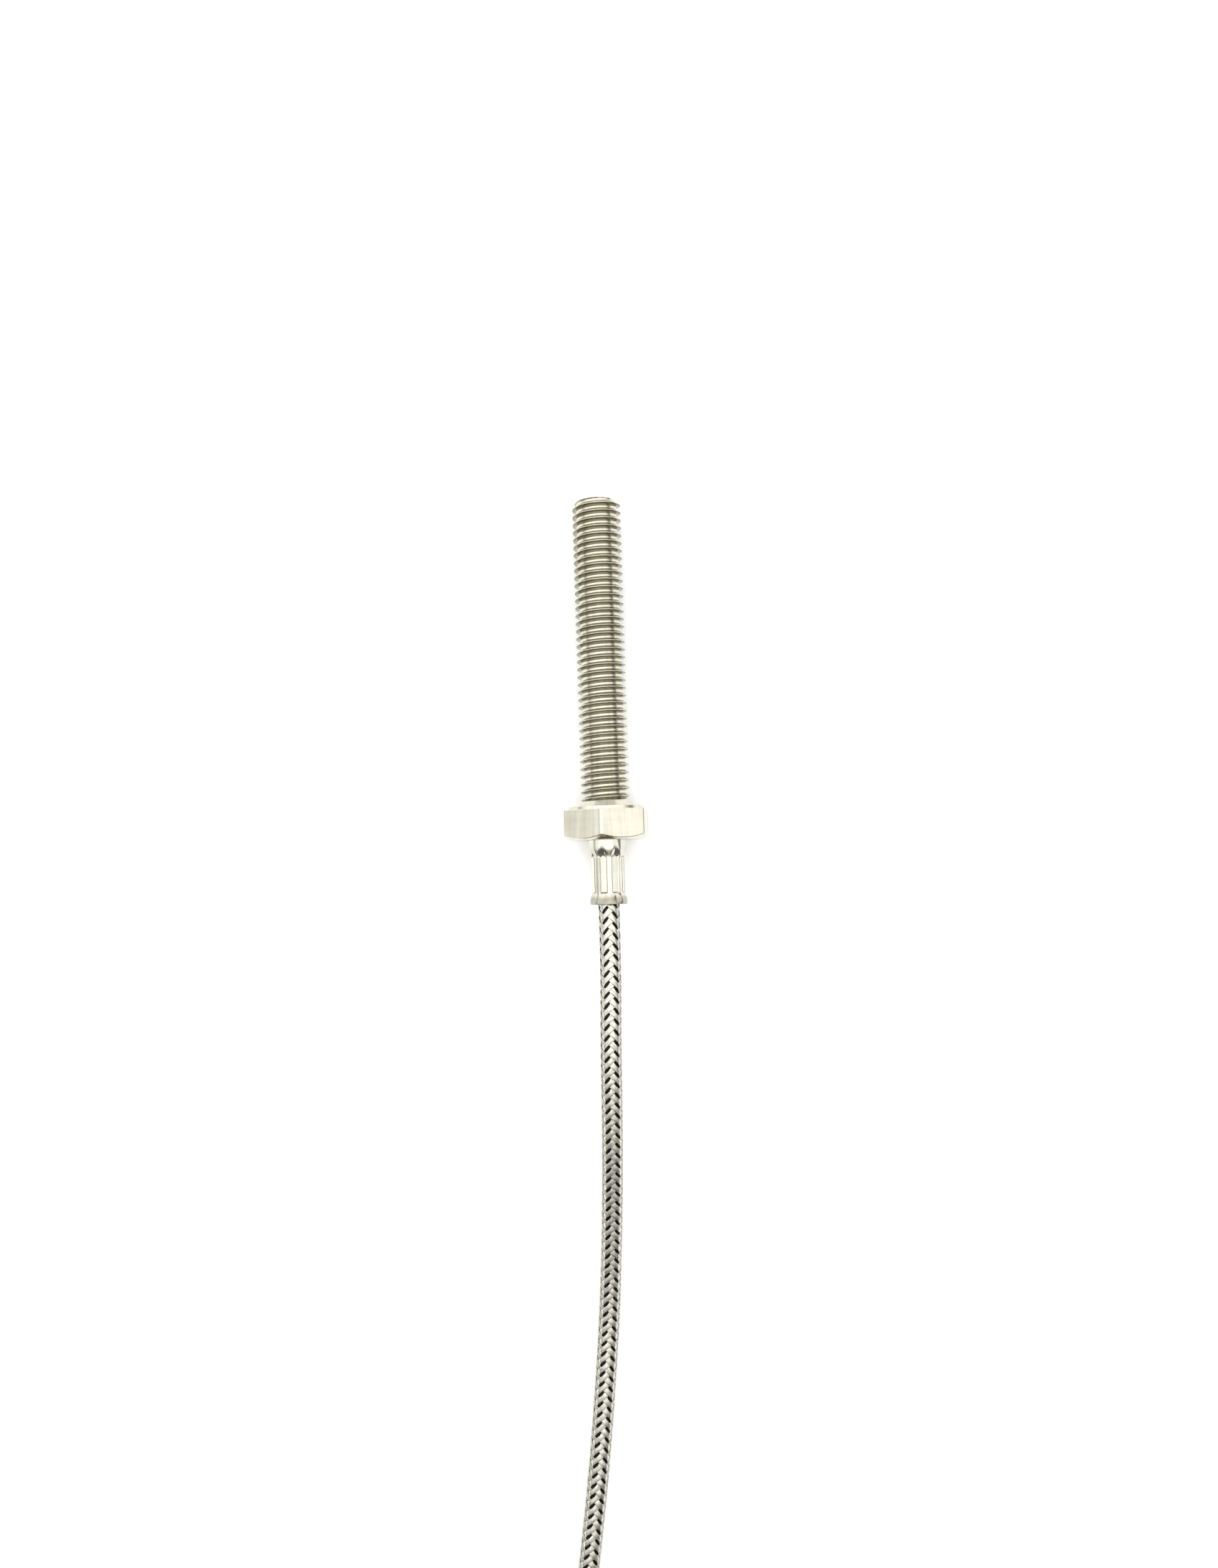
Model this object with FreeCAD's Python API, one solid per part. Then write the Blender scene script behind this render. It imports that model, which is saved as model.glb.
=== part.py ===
import FreeCAD, Part
import math
import os
from FreeCAD import Vector as V

# Screw-in (bolt) thermocouple: a drilled stainless M8 x 50 hexagon bolt that holds a
# mineral-filled sensing sheath, a crimped ferrule that swivels in the bolt head, and a
# metal-overbraided lead that ends in two fork terminals. All sizes are in millimetres.
#
# Frame: the object lies on a flat surface, +Z up, the bolt's tip towards +Y and the lead
# towards -Y. The origin is the centre of the head's bearing face. Lying at rest the bolt
# touches the surface with a corner of its head and with its thread tip, so its axis dips
# towards the tip. Everything on the bolt axis is built along +Y and then dipped about X.

# ---- bolt ----
PITCH = 1.25
TURNS_PER_CUT = 5
MAJOR_R = 3.98              # M8 external thread, crest radius
MINOR_R = 3.233
SHANK_LENGTH = 50.0         # bearing face to end face
TIP_R = 3.28                # end face, inside the point chamfer
TIP_CHAMFER = 0.75
NECK_LENGTH = 1.1           # plain cone between the bearing face and the thread
NECK_ROOT_R = 4.55
NECK_END_R = 3.72
ACROSS_FLATS = 13.0
HEAD_HEIGHT = 5.3
WASHER_FACE_R = 6.2
WASHER_FACE_T = 0.5
HEAD_CHAMFER_DEG = 30.0
HEAD_CHAMFER_R = 6.15       # flat circle left on the cable side of the head
CORNER_TURN_DEG = 5.9       # a head corner stands this far from straight up, towards -X

# ---- swivel seat in the head ----
SEAT_R = 3.65               # counterbore that the ferrule's flange turns in
SEAT_FROM, SEAT_TO = -4.50, -2.85
LIP_R = 3.10                # rolled-in lip that keeps the flange in
BORE_R = 1.58
BORE_TO = 46.4
DRILL_POINT = 0.9

# ---- crimped ferrule ----
FLANGE_R = 3.60
FLANGE_FROM, FLANGE_TO = -4.45, -2.90
COLLAR_R = 3.05
CRIMP_R = 2.62
FERRULE_END = -15.6
MOUTH_R = 3.06
DOME_FROM, DOME_LENGTH = -7.15, 0.85      # collar's rounded shoulder
FLARE_FROM, FLARE_LENGTH = -13.75, 1.45   # crimp's end opening into the mouth
LEAD_BORE_R = 1.80
FLUTES = 8
FLUTE_PHASE_DEG = -13.0
FLUTE_CUTTER_R = 0.80
FLUTE_FLOOR_R = 2.24
FLUTE_FROM, FLUTE_TO = -13.2, -8.5

# ---- sensing element ----
SHEATH_R, SHEATH_BORE_R = 1.50, 1.20
SHEATH_FROM, SHEATH_TO = -6.9, 46.1
SHEATH_TIP_CHAMFER, SHEATH_TIP_T = 0.35, 0.55
WIRE_R = 0.30
WIRE_OFFSET = 0.55
CERAMIC_R, CERAMIC_HOLE_R = 1.15, 0.35
CERAMIC_FROM, CERAMIC_TO = -4.6, 43.2
BEAD_R = 0.85
BEAD_AT = 44.3

# ---- what the crimp grips ----
BRAID_END_R, BRAID_END_BORE_R = 1.75, 1.45
SUPPORT_BORE_R = 1.17
LEAD_FACE = -13.8           # the lead's own solid starts here
GRIP_FROM = -7.3
INSULATION_R = 0.54

# ---- lead ----
LEAD_D = 3.5
FLOOR_GAP = 0.04

# ---- put-away hank, its tie and the lead's end ----
HANK_FRONT, HANK_BACK = -146.75, -194.75      # centres of its end loops
HANK_LOOP_R = 16.3
HANK_WAIST_HALF = 7.0
HANK_HEIGHT, HANK_FRONT_HEIGHT = 7.0, 10.5    # two leads deep, three over the incoming lead
HANK_STEP_FROM, HANK_STEP_TO = -165.0, -149.0
TIE_AT, TIE_WIDTH, TIE_T = -170.75, 4.8, 1.15
TIE_HEIGHT, TIE_CORNER_R = 12.9, 3.2
TIE_SLACK = 0.1
LOCK_WIDTH, LOCK_HEIGHT, LOCK_X, LOCK_EDGE_R = 6.4, 4.4, 0.6, 0.7
FREE_END_LENGTH, FREE_END_T, FREE_END_X = 9.0, 1.1, 6.0

# ---- lead's far end: end sleeve, tails, fork terminals and their collars ----
SLEEVE_R, SLEEVE_LENGTH, SLEEVE_GRIP = 2.25, 11.0, 6.0
TAIL_D, TAIL_HALF_GAP, TAIL_FROM = 1.3, 0.72, 6.6
FORK_LIFT = 1.85            # barrel axis above the hank's front top
BARREL_R, BARREL_LENGTH = 1.25, 5.0
BARREL_BORE_R = TAIL_D / 2 + 0.01
TONGUE_WIDTH, TONGUE_FROM, TONGUE_LENGTH, TONGUE_T = 6.4, 4.6, 13.2, 0.8
SLOT_WIDTH, SLOT_FROM, SLOT_LENGTH = 3.3, 11.2, 8.0
COLLAR_OUT_R, COLLAR_NOSE_R = 1.80, 1.45
COLLAR_BACK, COLLAR_STEP, COLLAR_FRONT = -4.1, 0.2, 4.4

corner_r = ACROSS_FLATS / 2 / math.cos(math.radians(30))
corner_reach = corner_r * math.cos(math.radians(CORNER_TURN_DEG))
dip = math.atan((corner_reach - MAJOR_R) / (SHANK_LENGTH - TIP_CHAMFER + WASHER_FACE_T))
floor_z = -corner_reach * math.cos(dip) + WASHER_FACE_T * math.sin(dip)
print("axis dips %.3f degrees, surface at z = %.3f" % (math.degrees(dip), floor_z))

os.makedirs("parts", exist_ok=True)
volumes = {}


def save(name, shape):
    """One solid per node, valid and closed."""
    if len(shape.Solids) != 1:
        raise ValueError("%s has %d solids" % (name, len(shape.Solids)))
    solid = shape.Solids[0]
    if not solid.isValid():
        raise ValueError(name + " is not valid")
    solid.exportStep("parts/%s.step" % name)
    volumes[name] = solid.Volume
    b = solid.BoundBox
    print("%-20s %9.2f mm3  x %.2f..%.2f  y %.2f..%.2f  z %.2f..%.2f"
          % (name, solid.Volume, b.XMin, b.XMax, b.YMin, b.YMax, b.ZMin, b.ZMax))
    return solid


def turned(profile):
    """Solid of revolution about the Y axis from (distance along, radius) points."""
    points = [V(r, v, 0) for v, r in profile]
    face = Part.Face(Part.makePolygon(points + [points[0]]))
    return Part.Solid(face.revolve(V(0, 0, 0), V(0, 1, 0), 360).Shells[0])


def rod(radius, low, high, x=0.0, z=0.0):
    return Part.makeCylinder(radius, high - low, V(x, low, z), V(0, 1, 0))


def tube(outer, inner, low, high, x=0.0, z=0.0):
    return rod(outer, low, high, x, z).cut(rod(inner, low - 1, high + 1, x, z))


def dipped(shape):
    """From the straight build axis to the axis of the bolt at rest."""
    shape = shape.copy()
    shape.rotate(V(0, 0, 0), V(1, 0, 0), -math.degrees(dip))
    return shape


def on_axis(v, x=0.0, w=0.0):
    return V(x, v * math.cos(dip) + w * math.sin(dip), -v * math.sin(dip) + w * math.cos(dip))


# ---------------------------------------------------------------- hexagon bolt
# Blank: washer face, neck cone, shank with a chamfered point.
shank = turned([(-1.0, 0.0), (-1.0, 4.0), (-WASHER_FACE_T, 4.0), (-WASHER_FACE_T, WASHER_FACE_R),
                (-0.08, WASHER_FACE_R), (0.0, WASHER_FACE_R - 0.08),
                (0.0, NECK_ROOT_R), (NECK_LENGTH * 0.45, NECK_END_R + 0.22),
                (NECK_LENGTH, NECK_END_R), (NECK_LENGTH + 0.25, MAJOR_R),
                (SHANK_LENGTH - TIP_CHAMFER, MAJOR_R), (SHANK_LENGTH, TIP_R), (SHANK_LENGTH, 0.0)])

# Right-hand 60 degree groove, an eighth of the pitch left as crest. It runs out into the
# neck at one end and through the point chamfer at the other, and it is cut five turns at a
# time, because one long helical sweep comes out inaccurate.
def groove(turns, start):
    crest_half = (PITCH - PITCH / 8) / 2
    reach = 0.05
    slope = math.tan(math.radians(30))
    mouth = crest_half + reach * slope
    floor = crest_half - (MAJOR_R - MINOR_R) * slope
    profile = [V(MINOR_R, 0, -floor), V(MAJOR_R + reach, 0, -mouth),
               V(MAJOR_R + reach, 0, mouth), V(MINOR_R, 0, floor)]
    helix = Part.makeHelix(PITCH, turns * PITCH, MINOR_R)
    cutter = Part.Wire(helix.Edges).makePipeShell(
        [Part.makePolygon(profile + [profile[0]])], True, True)
    cutter.rotate(V(0, 0, 0), V(0, 0, 1), 360.0 * start / PITCH)
    cutter.translate(V(0, 0, start))
    cutter.rotate(V(0, 0, 0), V(1, 0, 0), -90)
    return cutter


groove_start = NECK_LENGTH + 0.55
while groove_start < SHANK_LENGTH + PITCH:
    shank = shank.cut(groove(TURNS_PER_CUT, groove_start))
    groove_start += TURNS_PER_CUT * PITCH

# Hexagonal head with a 30 degree chamfer on the cable side.
corners = []
for k in range(6):
    angle = math.radians(90 + CORNER_TURN_DEG + 60 * k)
    corners.append(V(corner_r * math.cos(angle), -HEAD_HEIGHT, corner_r * math.sin(angle)))
hexagon = Part.Face(Part.makePolygon(corners + [corners[0]])).extrude(
    V(0, HEAD_HEIGHT - WASHER_FACE_T, 0))
# The cone is taken as a spline surface, so that it meets the flats in plain curves.
slope = math.tan(math.radians(HEAD_CHAMFER_DEG))
envelope = turned([(-HEAD_HEIGHT, 0.0), (-HEAD_HEIGHT, HEAD_CHAMFER_R),
                   (-HEAD_HEIGHT + (9.0 - HEAD_CHAMFER_R) * slope, 9.0),
                   (0.0, 9.0), (0.0, 0.0)]).toNurbs()
bolt = hexagon.common(envelope).fuse(shank)

# Swivel seat behind the rolled-in lip, then the blind bore for the sensing sheath.
seat = turned([(-HEAD_HEIGHT - 1.0, 0.0), (-HEAD_HEIGHT - 1.0, LIP_R + 0.3),
               (-HEAD_HEIGHT, LIP_R + 0.3), (-HEAD_HEIGHT + 0.3, LIP_R), (SEAT_FROM, LIP_R),
               (SEAT_FROM, SEAT_R), (SEAT_TO, SEAT_R), (SEAT_TO, BORE_R), (BORE_TO, BORE_R),
               (BORE_TO + DRILL_POINT, 0.0)])
bolt = bolt.cut(seat).removeSplitter()
save("hex_bolt", dipped(bolt))

# ---------------------------------------------------------------- crimped ferrule
# Turned stainless sleeve: flange inside the head, domed collar, fluted crimp, bell mouth.
outline = [(FLANGE_TO, SHEATH_R), (FLANGE_TO, FLANGE_R), (FLANGE_FROM, FLANGE_R),
           (FLANGE_FROM, COLLAR_R), (DOME_FROM, COLLAR_R)]
for k in range(1, 7):
    a = math.radians(15 * k)
    outline.append((DOME_FROM - DOME_LENGTH * math.sin(a),
                    CRIMP_R + (COLLAR_R - CRIMP_R) * math.cos(a)))
outline += [(FLARE_FROM, CRIMP_R)]
for k in range(1, 7):
    t = k / 6.0
    outline.append((FLARE_FROM - FLARE_LENGTH * t,
                    CRIMP_R + (MOUTH_R - CRIMP_R) * (0.35 * t + 0.65 * t * t)))
outline += [(FERRULE_END + 0.06, MOUTH_R - 0.02), (FERRULE_END, MOUTH_R - 0.12),
            (FERRULE_END, MOUTH_R - 0.34), (FERRULE_END + 0.9, LEAD_BORE_R + 0.32),
            (FERRULE_END + 1.7, LEAD_BORE_R), (GRIP_FROM + 0.3, LEAD_BORE_R),
            (GRIP_FROM + 0.3, SHEATH_R)]
ferrule = turned(outline)
for k in range(FLUTES):
    angle = math.radians(FLUTE_PHASE_DEG + 360.0 * k / FLUTES)
    r = FLUTE_FLOOR_R + FLUTE_CUTTER_R
    x, z = r * math.sin(angle), r * math.cos(angle)
    flute = rod(FLUTE_CUTTER_R, FLUTE_FROM, FLUTE_TO, x, z)
    flute = flute.fuse(Part.makeSphere(FLUTE_CUTTER_R, V(x, FLUTE_FROM, z)))
    flute = flute.fuse(Part.makeSphere(FLUTE_CUTTER_R, V(x, FLUTE_TO, z)))
    ferrule = ferrule.cut(flute)
save("crimp_ferrule", dipped(ferrule))

# ---------------------------------------------------------------- sensing element
# Closed stainless sheath held in the ferrule's nose, free to turn in the bolt's bore.
bore_end = SHEATH_TO - SHEATH_TIP_T
sheath = turned([(SHEATH_FROM, SHEATH_BORE_R), (SHEATH_FROM, SHEATH_R),
                 (SHEATH_TO - SHEATH_TIP_CHAMFER, SHEATH_R),
                 (SHEATH_TO, SHEATH_R - SHEATH_TIP_CHAMFER), (SHEATH_TO, 0.0),
                 (bore_end, 0.0), (bore_end, SHEATH_BORE_R)])
save("probe_sheath", dipped(sheath))

wires = {"positive": -WIRE_OFFSET, "negative": WIRE_OFFSET}
bead = Part.makeSphere(BEAD_R, V(0, BEAD_AT, 0))
wire_rods = {}
for name, x in wires.items():
    wire_rods[name] = rod(WIRE_R, LEAD_FACE, BEAD_AT, x)
    save("wire_" + name, dipped(wire_rods[name].cut(bead)))
save("hot_junction", dipped(bead))

ceramic = rod(CERAMIC_R, CERAMIC_FROM, CERAMIC_TO)
plug = rod(SHEATH_BORE_R, SHEATH_FROM, CERAMIC_FROM)
cement = rod(SHEATH_BORE_R, CERAMIC_TO, bore_end).cut(bead)
for name, x in wires.items():
    ceramic = ceramic.cut(rod(CERAMIC_HOLE_R, CERAMIC_FROM - 1, CERAMIC_TO + 1, x))
    plug = plug.cut(wire_rods[name])
    cement = cement.cut(wire_rods[name])
save("ceramic_insulator", dipped(ceramic))
save("seal_plug", dipped(plug))
save("tip_cement", dipped(cement))

# ---------------------------------------------------------------- inside the crimp
# The ferrule squeezes the braid's end on to a support sleeve round the two conductors.
save("braid_end", dipped(tube(BRAID_END_R, BRAID_END_BORE_R, LEAD_FACE, GRIP_FROM)))
save("support_sleeve", dipped(tube(BRAID_END_BORE_R, SUPPORT_BORE_R, LEAD_FACE, GRIP_FROM)))
for name, x in wires.items():
    save("insulation_" + name, dipped(tube(INSULATION_R, WIRE_R, LEAD_FACE, GRIP_FROM, x)))


# ---------------------------------------------------------------- lead
def cord(points, diameter, label):
    """Round cord along straight runs joined by tangent arcs, each as large as its runs allow."""
    edges, radii, start = [], [], points[0]
    for k in range(1, len(points) - 1):
        a, b, c = points[k - 1], points[k], points[k + 1]
        one, two = (b - a), (c - b)
        cut = 0.45 * min(one.Length, two.Length)
        one.normalize()
        two.normalize()
        half = one.getAngle(two) / 2
        radius = cut / math.tan(half)
        p, q = b - one * cut, b + two * cut
        towards = two - one
        towards.normalize()
        centre = b + towards * (radius / math.cos(half))
        inward = b - centre
        inward.normalize()
        mid = centre + inward * radius
        edges += [Part.LineSegment(start, p).toShape(), Part.Arc(p, mid, q).toShape()]
        radii.append(radius)
        start = q
    edges.append(Part.LineSegment(start, points[-1]).toShape())
    path = Part.Wire(edges)
    direction = points[1] - points[0]
    circle = Part.Wire([Part.Circle(points[0], direction, diameter / 2).toShape()])
    solid = path.makePipeShell([circle], True, False)
    length = path.Length
    expected = math.pi * diameter * diameter / 4 * length
    print("%s: length %.1f, radii %s, volume %.1f of %.1f"
          % (label, length, [round(r, 1) for r in radii], solid.Volume, expected))
    if abs(solid.Volume - expected) > 0.01 * expected:
        raise ValueError(label + " swept badly")
    return solid


low = floor_z + LEAD_D / 2 + FLOOR_GAP
lead_route = [on_axis(LEAD_FACE), on_axis(-25.0), V(-0.42, -37.5, 2.02), V(-0.60, -51.0, 0.35),
              V(-1.08, -66.0, -2.85), V(-1.95, -82.0, low + 0.25), V(-3.4, -98.0, low),
              V(-5.1, -113.0, low), V(-7.0, -126.5, low), V(-8.9, -139.0, low)]
save("lead_cable", cord(lead_route, LEAD_D, "lead_cable"))


# ---------------------------------------------------------------- hank
# Folded lead: two end loops drawn in to a waist by the tie, higher where it lies over
# the incoming lead. Its outline is arcs joined by tangent lines, mirrored left to right.
def loop_ring(loop_r, centre_y, start_deg):
    return [(loop_r * math.cos(math.radians(start_deg + 7.5 * k)),
             centre_y + loop_r * math.sin(math.radians(start_deg + 7.5 * k))) for k in range(25)]


def side_x(loop_r, waist_half, t):
    """Half width of the bundle's edge, t going from one loop centre to the other."""
    return loop_r + (waist_half - loop_r) * (0.5 - 0.5 * math.cos(2 * math.pi * t))


def plate(points, low_z, high_z):
    ring = [V(x, y, low_z) for x, y in points]
    return Part.Face(Part.makePolygon(ring + [ring[0]])).extrude(V(0, 0, high_z - low_z))


def dog_bone(loop_r, waist_half, low_z, high_z):
    span = HANK_BACK - HANK_FRONT
    steps = [k / 16.0 for k in range(1, 16)]
    pts = loop_ring(loop_r, HANK_FRONT, 0)
    pts += [(-side_x(loop_r, waist_half, t), HANK_FRONT + span * t) for t in steps]
    pts += loop_ring(loop_r, HANK_BACK, 180)
    pts += [(side_x(loop_r, waist_half, t), HANK_BACK - span * t) for t in steps]
    solid = plate(pts, low_z, high_z)
    # the open eye of each end loop, two leads in from the outside
    eye_r = loop_r - 2 * LEAD_D
    tapers = [k / 16.0 for k in range(1, 7)]
    for centre_y, way, start in ((HANK_FRONT, 1, 0), (HANK_BACK, -1, 180)):
        left = [(-way * (side_x(loop_r, waist_half, t) - 2 * LEAD_D), centre_y + way * span * t)
                for t in tapers]
        right = [(-x, y) for x, y in reversed(left)]
        solid = solid.cut(plate(loop_ring(eye_r, centre_y, start) + left + right,
                                low_z - 1, high_z + 1))
    return solid


hank_low = floor_z + FLOOR_GAP
hank_top, hank_front_top = floor_z + HANK_HEIGHT, floor_z + HANK_FRONT_HEIGHT
hank = dog_bone(HANK_LOOP_R, HANK_WAIST_HALF, hank_low, hank_front_top)
above = Part.Face(Part.makePolygon([
    V(-30, -260, hank_top), V(-30, HANK_STEP_FROM, hank_top),
    V(-30, HANK_STEP_TO, hank_front_top), V(-30, HANK_STEP_TO, hank_front_top + 5),
    V(-30, -260, hank_front_top + 5),
    V(-30, -260, hank_top)])).extrude(V(60, 0, 0))
hank = hank.cut(above)


def rounded_box(half_x, low_z, high_z, corner, y0, y1):
    """Rounded rectangle in the XZ plane, extruded along Y."""
    def at(cx, cz, a):
        return V(cx + corner * math.cos(math.radians(a)), y0, cz + corner * math.sin(math.radians(a)))
    x, lo, hi = half_x - corner, low_z + corner, high_z - corner
    arcs = [(x, hi, 0), (-x, hi, 90), (-x, lo, 180), (x, lo, 270)]
    edges, last = [], None
    for cx, cz, a in arcs:
        start, mid, end = at(cx, cz, a), at(cx, cz, a + 45), at(cx, cz, a + 90)
        if last is not None:
            edges.append(Part.LineSegment(last, start).toShape())
        edges.append(Part.Arc(start, mid, end).toShape())
        last = end
    edges.append(Part.LineSegment(last, at(x, hi, 0)).toShape())
    return Part.Face(Part.Wire(edges)).extrude(V(0, y1 - y0, 0))


# Releasable cable tie round the waist, with its lock head on top and a short free end.
tie_y0, tie_y1 = TIE_AT - TIE_WIDTH / 2, TIE_AT + TIE_WIDTH / 2
tie_low, tie_high = floor_z + FLOOR_GAP, floor_z + TIE_HEIGHT
tie_half = HANK_WAIST_HALF + TIE_T + TIE_SLACK
outer_ring = rounded_box(tie_half, tie_low, tie_high, TIE_CORNER_R, tie_y0, tie_y1)
inner_ring = rounded_box(tie_half - TIE_T, tie_low + TIE_T, tie_high - TIE_T,
                         TIE_CORNER_R - TIE_T, tie_y0 - 1, tie_y1 + 1)
# the folded lead is drawn in under the strap
keep = rounded_box(tie_half - TIE_T - 0.02, tie_low + TIE_T + 0.02, tie_high, 2.0,
                   tie_y0 - 0.05, tie_y1 + 0.05)
around = Part.makeBox(60, TIE_WIDTH + 0.1, 40, V(-30, tie_y0 - 0.05, floor_z - 10)).cut(keep)
save("lead_hank", hank.cut(around))
lock = Part.makeBox(LOCK_WIDTH, TIE_WIDTH + 1.6, LOCK_HEIGHT,
                    V(LOCK_X, tie_y0 - 0.8, tie_high - 0.6))
lock = lock.makeFillet(LOCK_EDGE_R, lock.Edges)
free_end = Part.makeBox(FREE_END_LENGTH, TIE_WIDTH - 0.6, FREE_END_T,
                        V(FREE_END_X, tie_y0 + 0.3, tie_high + 1.0))
tie = outer_ring.cut(inner_ring).fuse(lock).fuse(free_end).cut(inner_ring)
save("hank_tie", tie.removeSplitter())

# ---------------------------------------------------------------- lead's far end
# Crimped sleeve over the cut braid, with the two fibre-insulated tails coming out of it.
sleeve_from = V(9.6, -189.5, hank_top + SLEEVE_R + 0.03)
sleeve_to = V(7.2, -178.8, hank_top + SLEEVE_R + 0.03)
way = sleeve_to - sleeve_from
way.normalize()
side = V(way.y, -way.x, 0)
sleeve = Part.makeCylinder(SLEEVE_R, SLEEVE_LENGTH, sleeve_from, way)
sleeve = sleeve.cut(Part.makeCylinder(LEAD_D / 2 + 0.02, SLEEVE_GRIP + 1.0, sleeve_from - way, way))
tail_starts = {"positive": sleeve_from + way * TAIL_FROM - side * TAIL_HALF_GAP,
               "negative": sleeve_from + way * TAIL_FROM + side * TAIL_HALF_GAP}
for start in tail_starts.values():
    sleeve = sleeve.cut(Part.makeCylinder(BARREL_BORE_R, 8.0, start - way * 0.7, way))
save("end_sleeve", sleeve)

# Each tail crosses the hank's waist and ends in a fork terminal: a barrel on the tail, a flat
# forked tongue, and a soft collar over the barrel.
fork_z = hank_front_top + FORK_LIFT
forks = {
    "positive": {"at": V(-1.6, -152.0, fork_z), "bend": V(4.0, -170.6, 0.25), "straight": 8.8},
    "negative": {"at": V(6.6, -153.5, fork_z), "bend": V(5.7, -170.9, 0.20), "straight": 8.6},
}


def corner_block(x, y):
    """A square block turned 45 degrees, that takes a corner off the tongue."""
    block = Part.makeBox(4.0, 4.0, 3.0, V(-2.0, -2.0, -1.5))
    block.rotate(V(0, 0, 0), V(0, 0, 1), 45)
    block.translate(V(x, y, -1.0))
    return block


for name, place in forks.items():
    at = place["at"]
    start = tail_starts[name]
    out = start + way * 6.5
    bend = V(place["bend"].x, place["bend"].y, out.z + place["bend"].z)
    tail_route = [start, out, bend, at - V(0, place["straight"], 0), at]
    save("tail_" + name, cord(tail_route, TAIL_D, "tail_" + name))

    tongue = Part.makeBox(TONGUE_WIDTH, TONGUE_LENGTH, TONGUE_T,
                          V(-TONGUE_WIDTH / 2, TONGUE_FROM, -BARREL_R))
    for way_out in (-1, 1):
        tongue = tongue.cut(corner_block(way_out * 4.6, 2.6 + 2.0 * math.sqrt(2)))
        tongue = tongue.cut(corner_block(way_out * 4.9, 18.9))
    slot = Part.makeBox(SLOT_WIDTH, SLOT_LENGTH, 3.0, V(-SLOT_WIDTH / 2, SLOT_FROM, -2.0))
    slot = slot.fuse(Part.makeCylinder(SLOT_WIDTH / 2, 3.0, V(0, SLOT_FROM, -2.0), V(0, 0, 1)))
    fork = rod(BARREL_R, 0.0, BARREL_LENGTH).fuse(tongue.cut(slot)).removeSplitter()
    fork = fork.cut(rod(BARREL_BORE_R, -1, BARREL_LENGTH + 0.01))
    fork.translate(at)
    save("fork_" + name, fork)

    collar = tube(COLLAR_OUT_R, BARREL_R, COLLAR_STEP, COLLAR_FRONT).fuse(
        turned([(COLLAR_BACK, BARREL_BORE_R), (COLLAR_BACK, COLLAR_NOSE_R),
                (COLLAR_BACK + 0.5, COLLAR_OUT_R), (COLLAR_STEP, COLLAR_OUT_R),
                (COLLAR_STEP, BARREL_R), (-0.02, BARREL_R), (-0.02, BARREL_BORE_R)]))
    collar.translate(at)
    save("collar_" + name, collar.removeSplitter())

print("nodes:", len(volumes))
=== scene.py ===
import math
from functools import partial

import bmesh
import bpy
from mathutils import Matrix, Vector


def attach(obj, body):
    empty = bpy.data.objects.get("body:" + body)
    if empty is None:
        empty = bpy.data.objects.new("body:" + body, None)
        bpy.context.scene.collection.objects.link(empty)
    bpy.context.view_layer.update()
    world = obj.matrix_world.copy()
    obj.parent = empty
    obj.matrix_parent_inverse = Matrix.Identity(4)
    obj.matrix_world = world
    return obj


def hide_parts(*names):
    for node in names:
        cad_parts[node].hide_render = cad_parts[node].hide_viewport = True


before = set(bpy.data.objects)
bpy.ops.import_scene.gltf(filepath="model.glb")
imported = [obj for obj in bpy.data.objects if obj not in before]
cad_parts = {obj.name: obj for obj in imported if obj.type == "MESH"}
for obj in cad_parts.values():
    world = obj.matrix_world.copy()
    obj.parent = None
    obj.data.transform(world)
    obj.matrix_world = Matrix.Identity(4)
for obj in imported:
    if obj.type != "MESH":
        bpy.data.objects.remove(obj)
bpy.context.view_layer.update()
MM = 0.001


# ---- Table, camera and light ----
# The thermocouple lies on a plain white table under a wide soft light, seen from straight above.
# The light is brighter past the probe's tip and to the right than on the lead's side.
FLOOR_Z = -7.413
EYE_OVER_X, EYE_OVER_Y, EYE_HEIGHT = 0.62, 3.70, 212.0
EYE_ROLL_DEG = 1.86
LENS_MM = 30.2
SKY_LEVEL = 1.42
SKY_AT_TABLE, SKY_OVERHEAD = 0.42, 1.25
SKY_LEAD_SIDE = 0.10
SKY_LEFT, SKY_RIGHT, SKY_LOW_RIGHT = 1.22, 1.16, 0.42

bpy.context.scene.view_settings.view_transform = "Standard"
camera_data = bpy.data.cameras.new("overhead_camera")
camera_data.sensor_fit = "VERTICAL"
camera_data.sensor_width = 36.0
camera_data.sensor_height = 36.0
camera_data.lens = LENS_MM
camera_data.clip_start = 0.005
camera = bpy.data.objects.new("overhead_camera", camera_data)
camera.location = Vector((EYE_OVER_X, EYE_OVER_Y, EYE_HEIGHT)) * MM
camera.rotation_euler = (0.0, 0.0, -math.radians(EYE_ROLL_DEG))
bpy.context.scene.collection.objects.link(camera)
bpy.context.scene.camera = camera


def new_material(name):
    """An empty node material and its output's surface shader."""
    made = bpy.data.materials.new(name)
    made.use_nodes = True
    tree = made.node_tree
    tree.nodes.clear()
    shader = tree.nodes.new("ShaderNodeBsdfPrincipled")
    output = tree.nodes.new("ShaderNodeOutputMaterial")
    tree.links.new(shader.outputs["BSDF"], output.inputs["Surface"])
    return made, tree, shader


def mesh_object(name, points, faces, material):
    """A mesh at the origin from points in metres, with its normals turned outwards."""
    mesh = bpy.data.meshes.new(name)
    mesh.from_pydata(points, [], faces)
    shape = bmesh.new()
    shape.from_mesh(mesh)
    bmesh.ops.remove_doubles(shape, verts=shape.verts, dist=1e-7)
    bmesh.ops.recalc_face_normals(shape, faces=shape.faces)
    shape.to_mesh(mesh)
    shape.free()
    mesh.materials.append(material)
    made = bpy.data.objects.new(name, mesh)
    bpy.context.scene.collection.objects.link(made)
    return made


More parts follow.
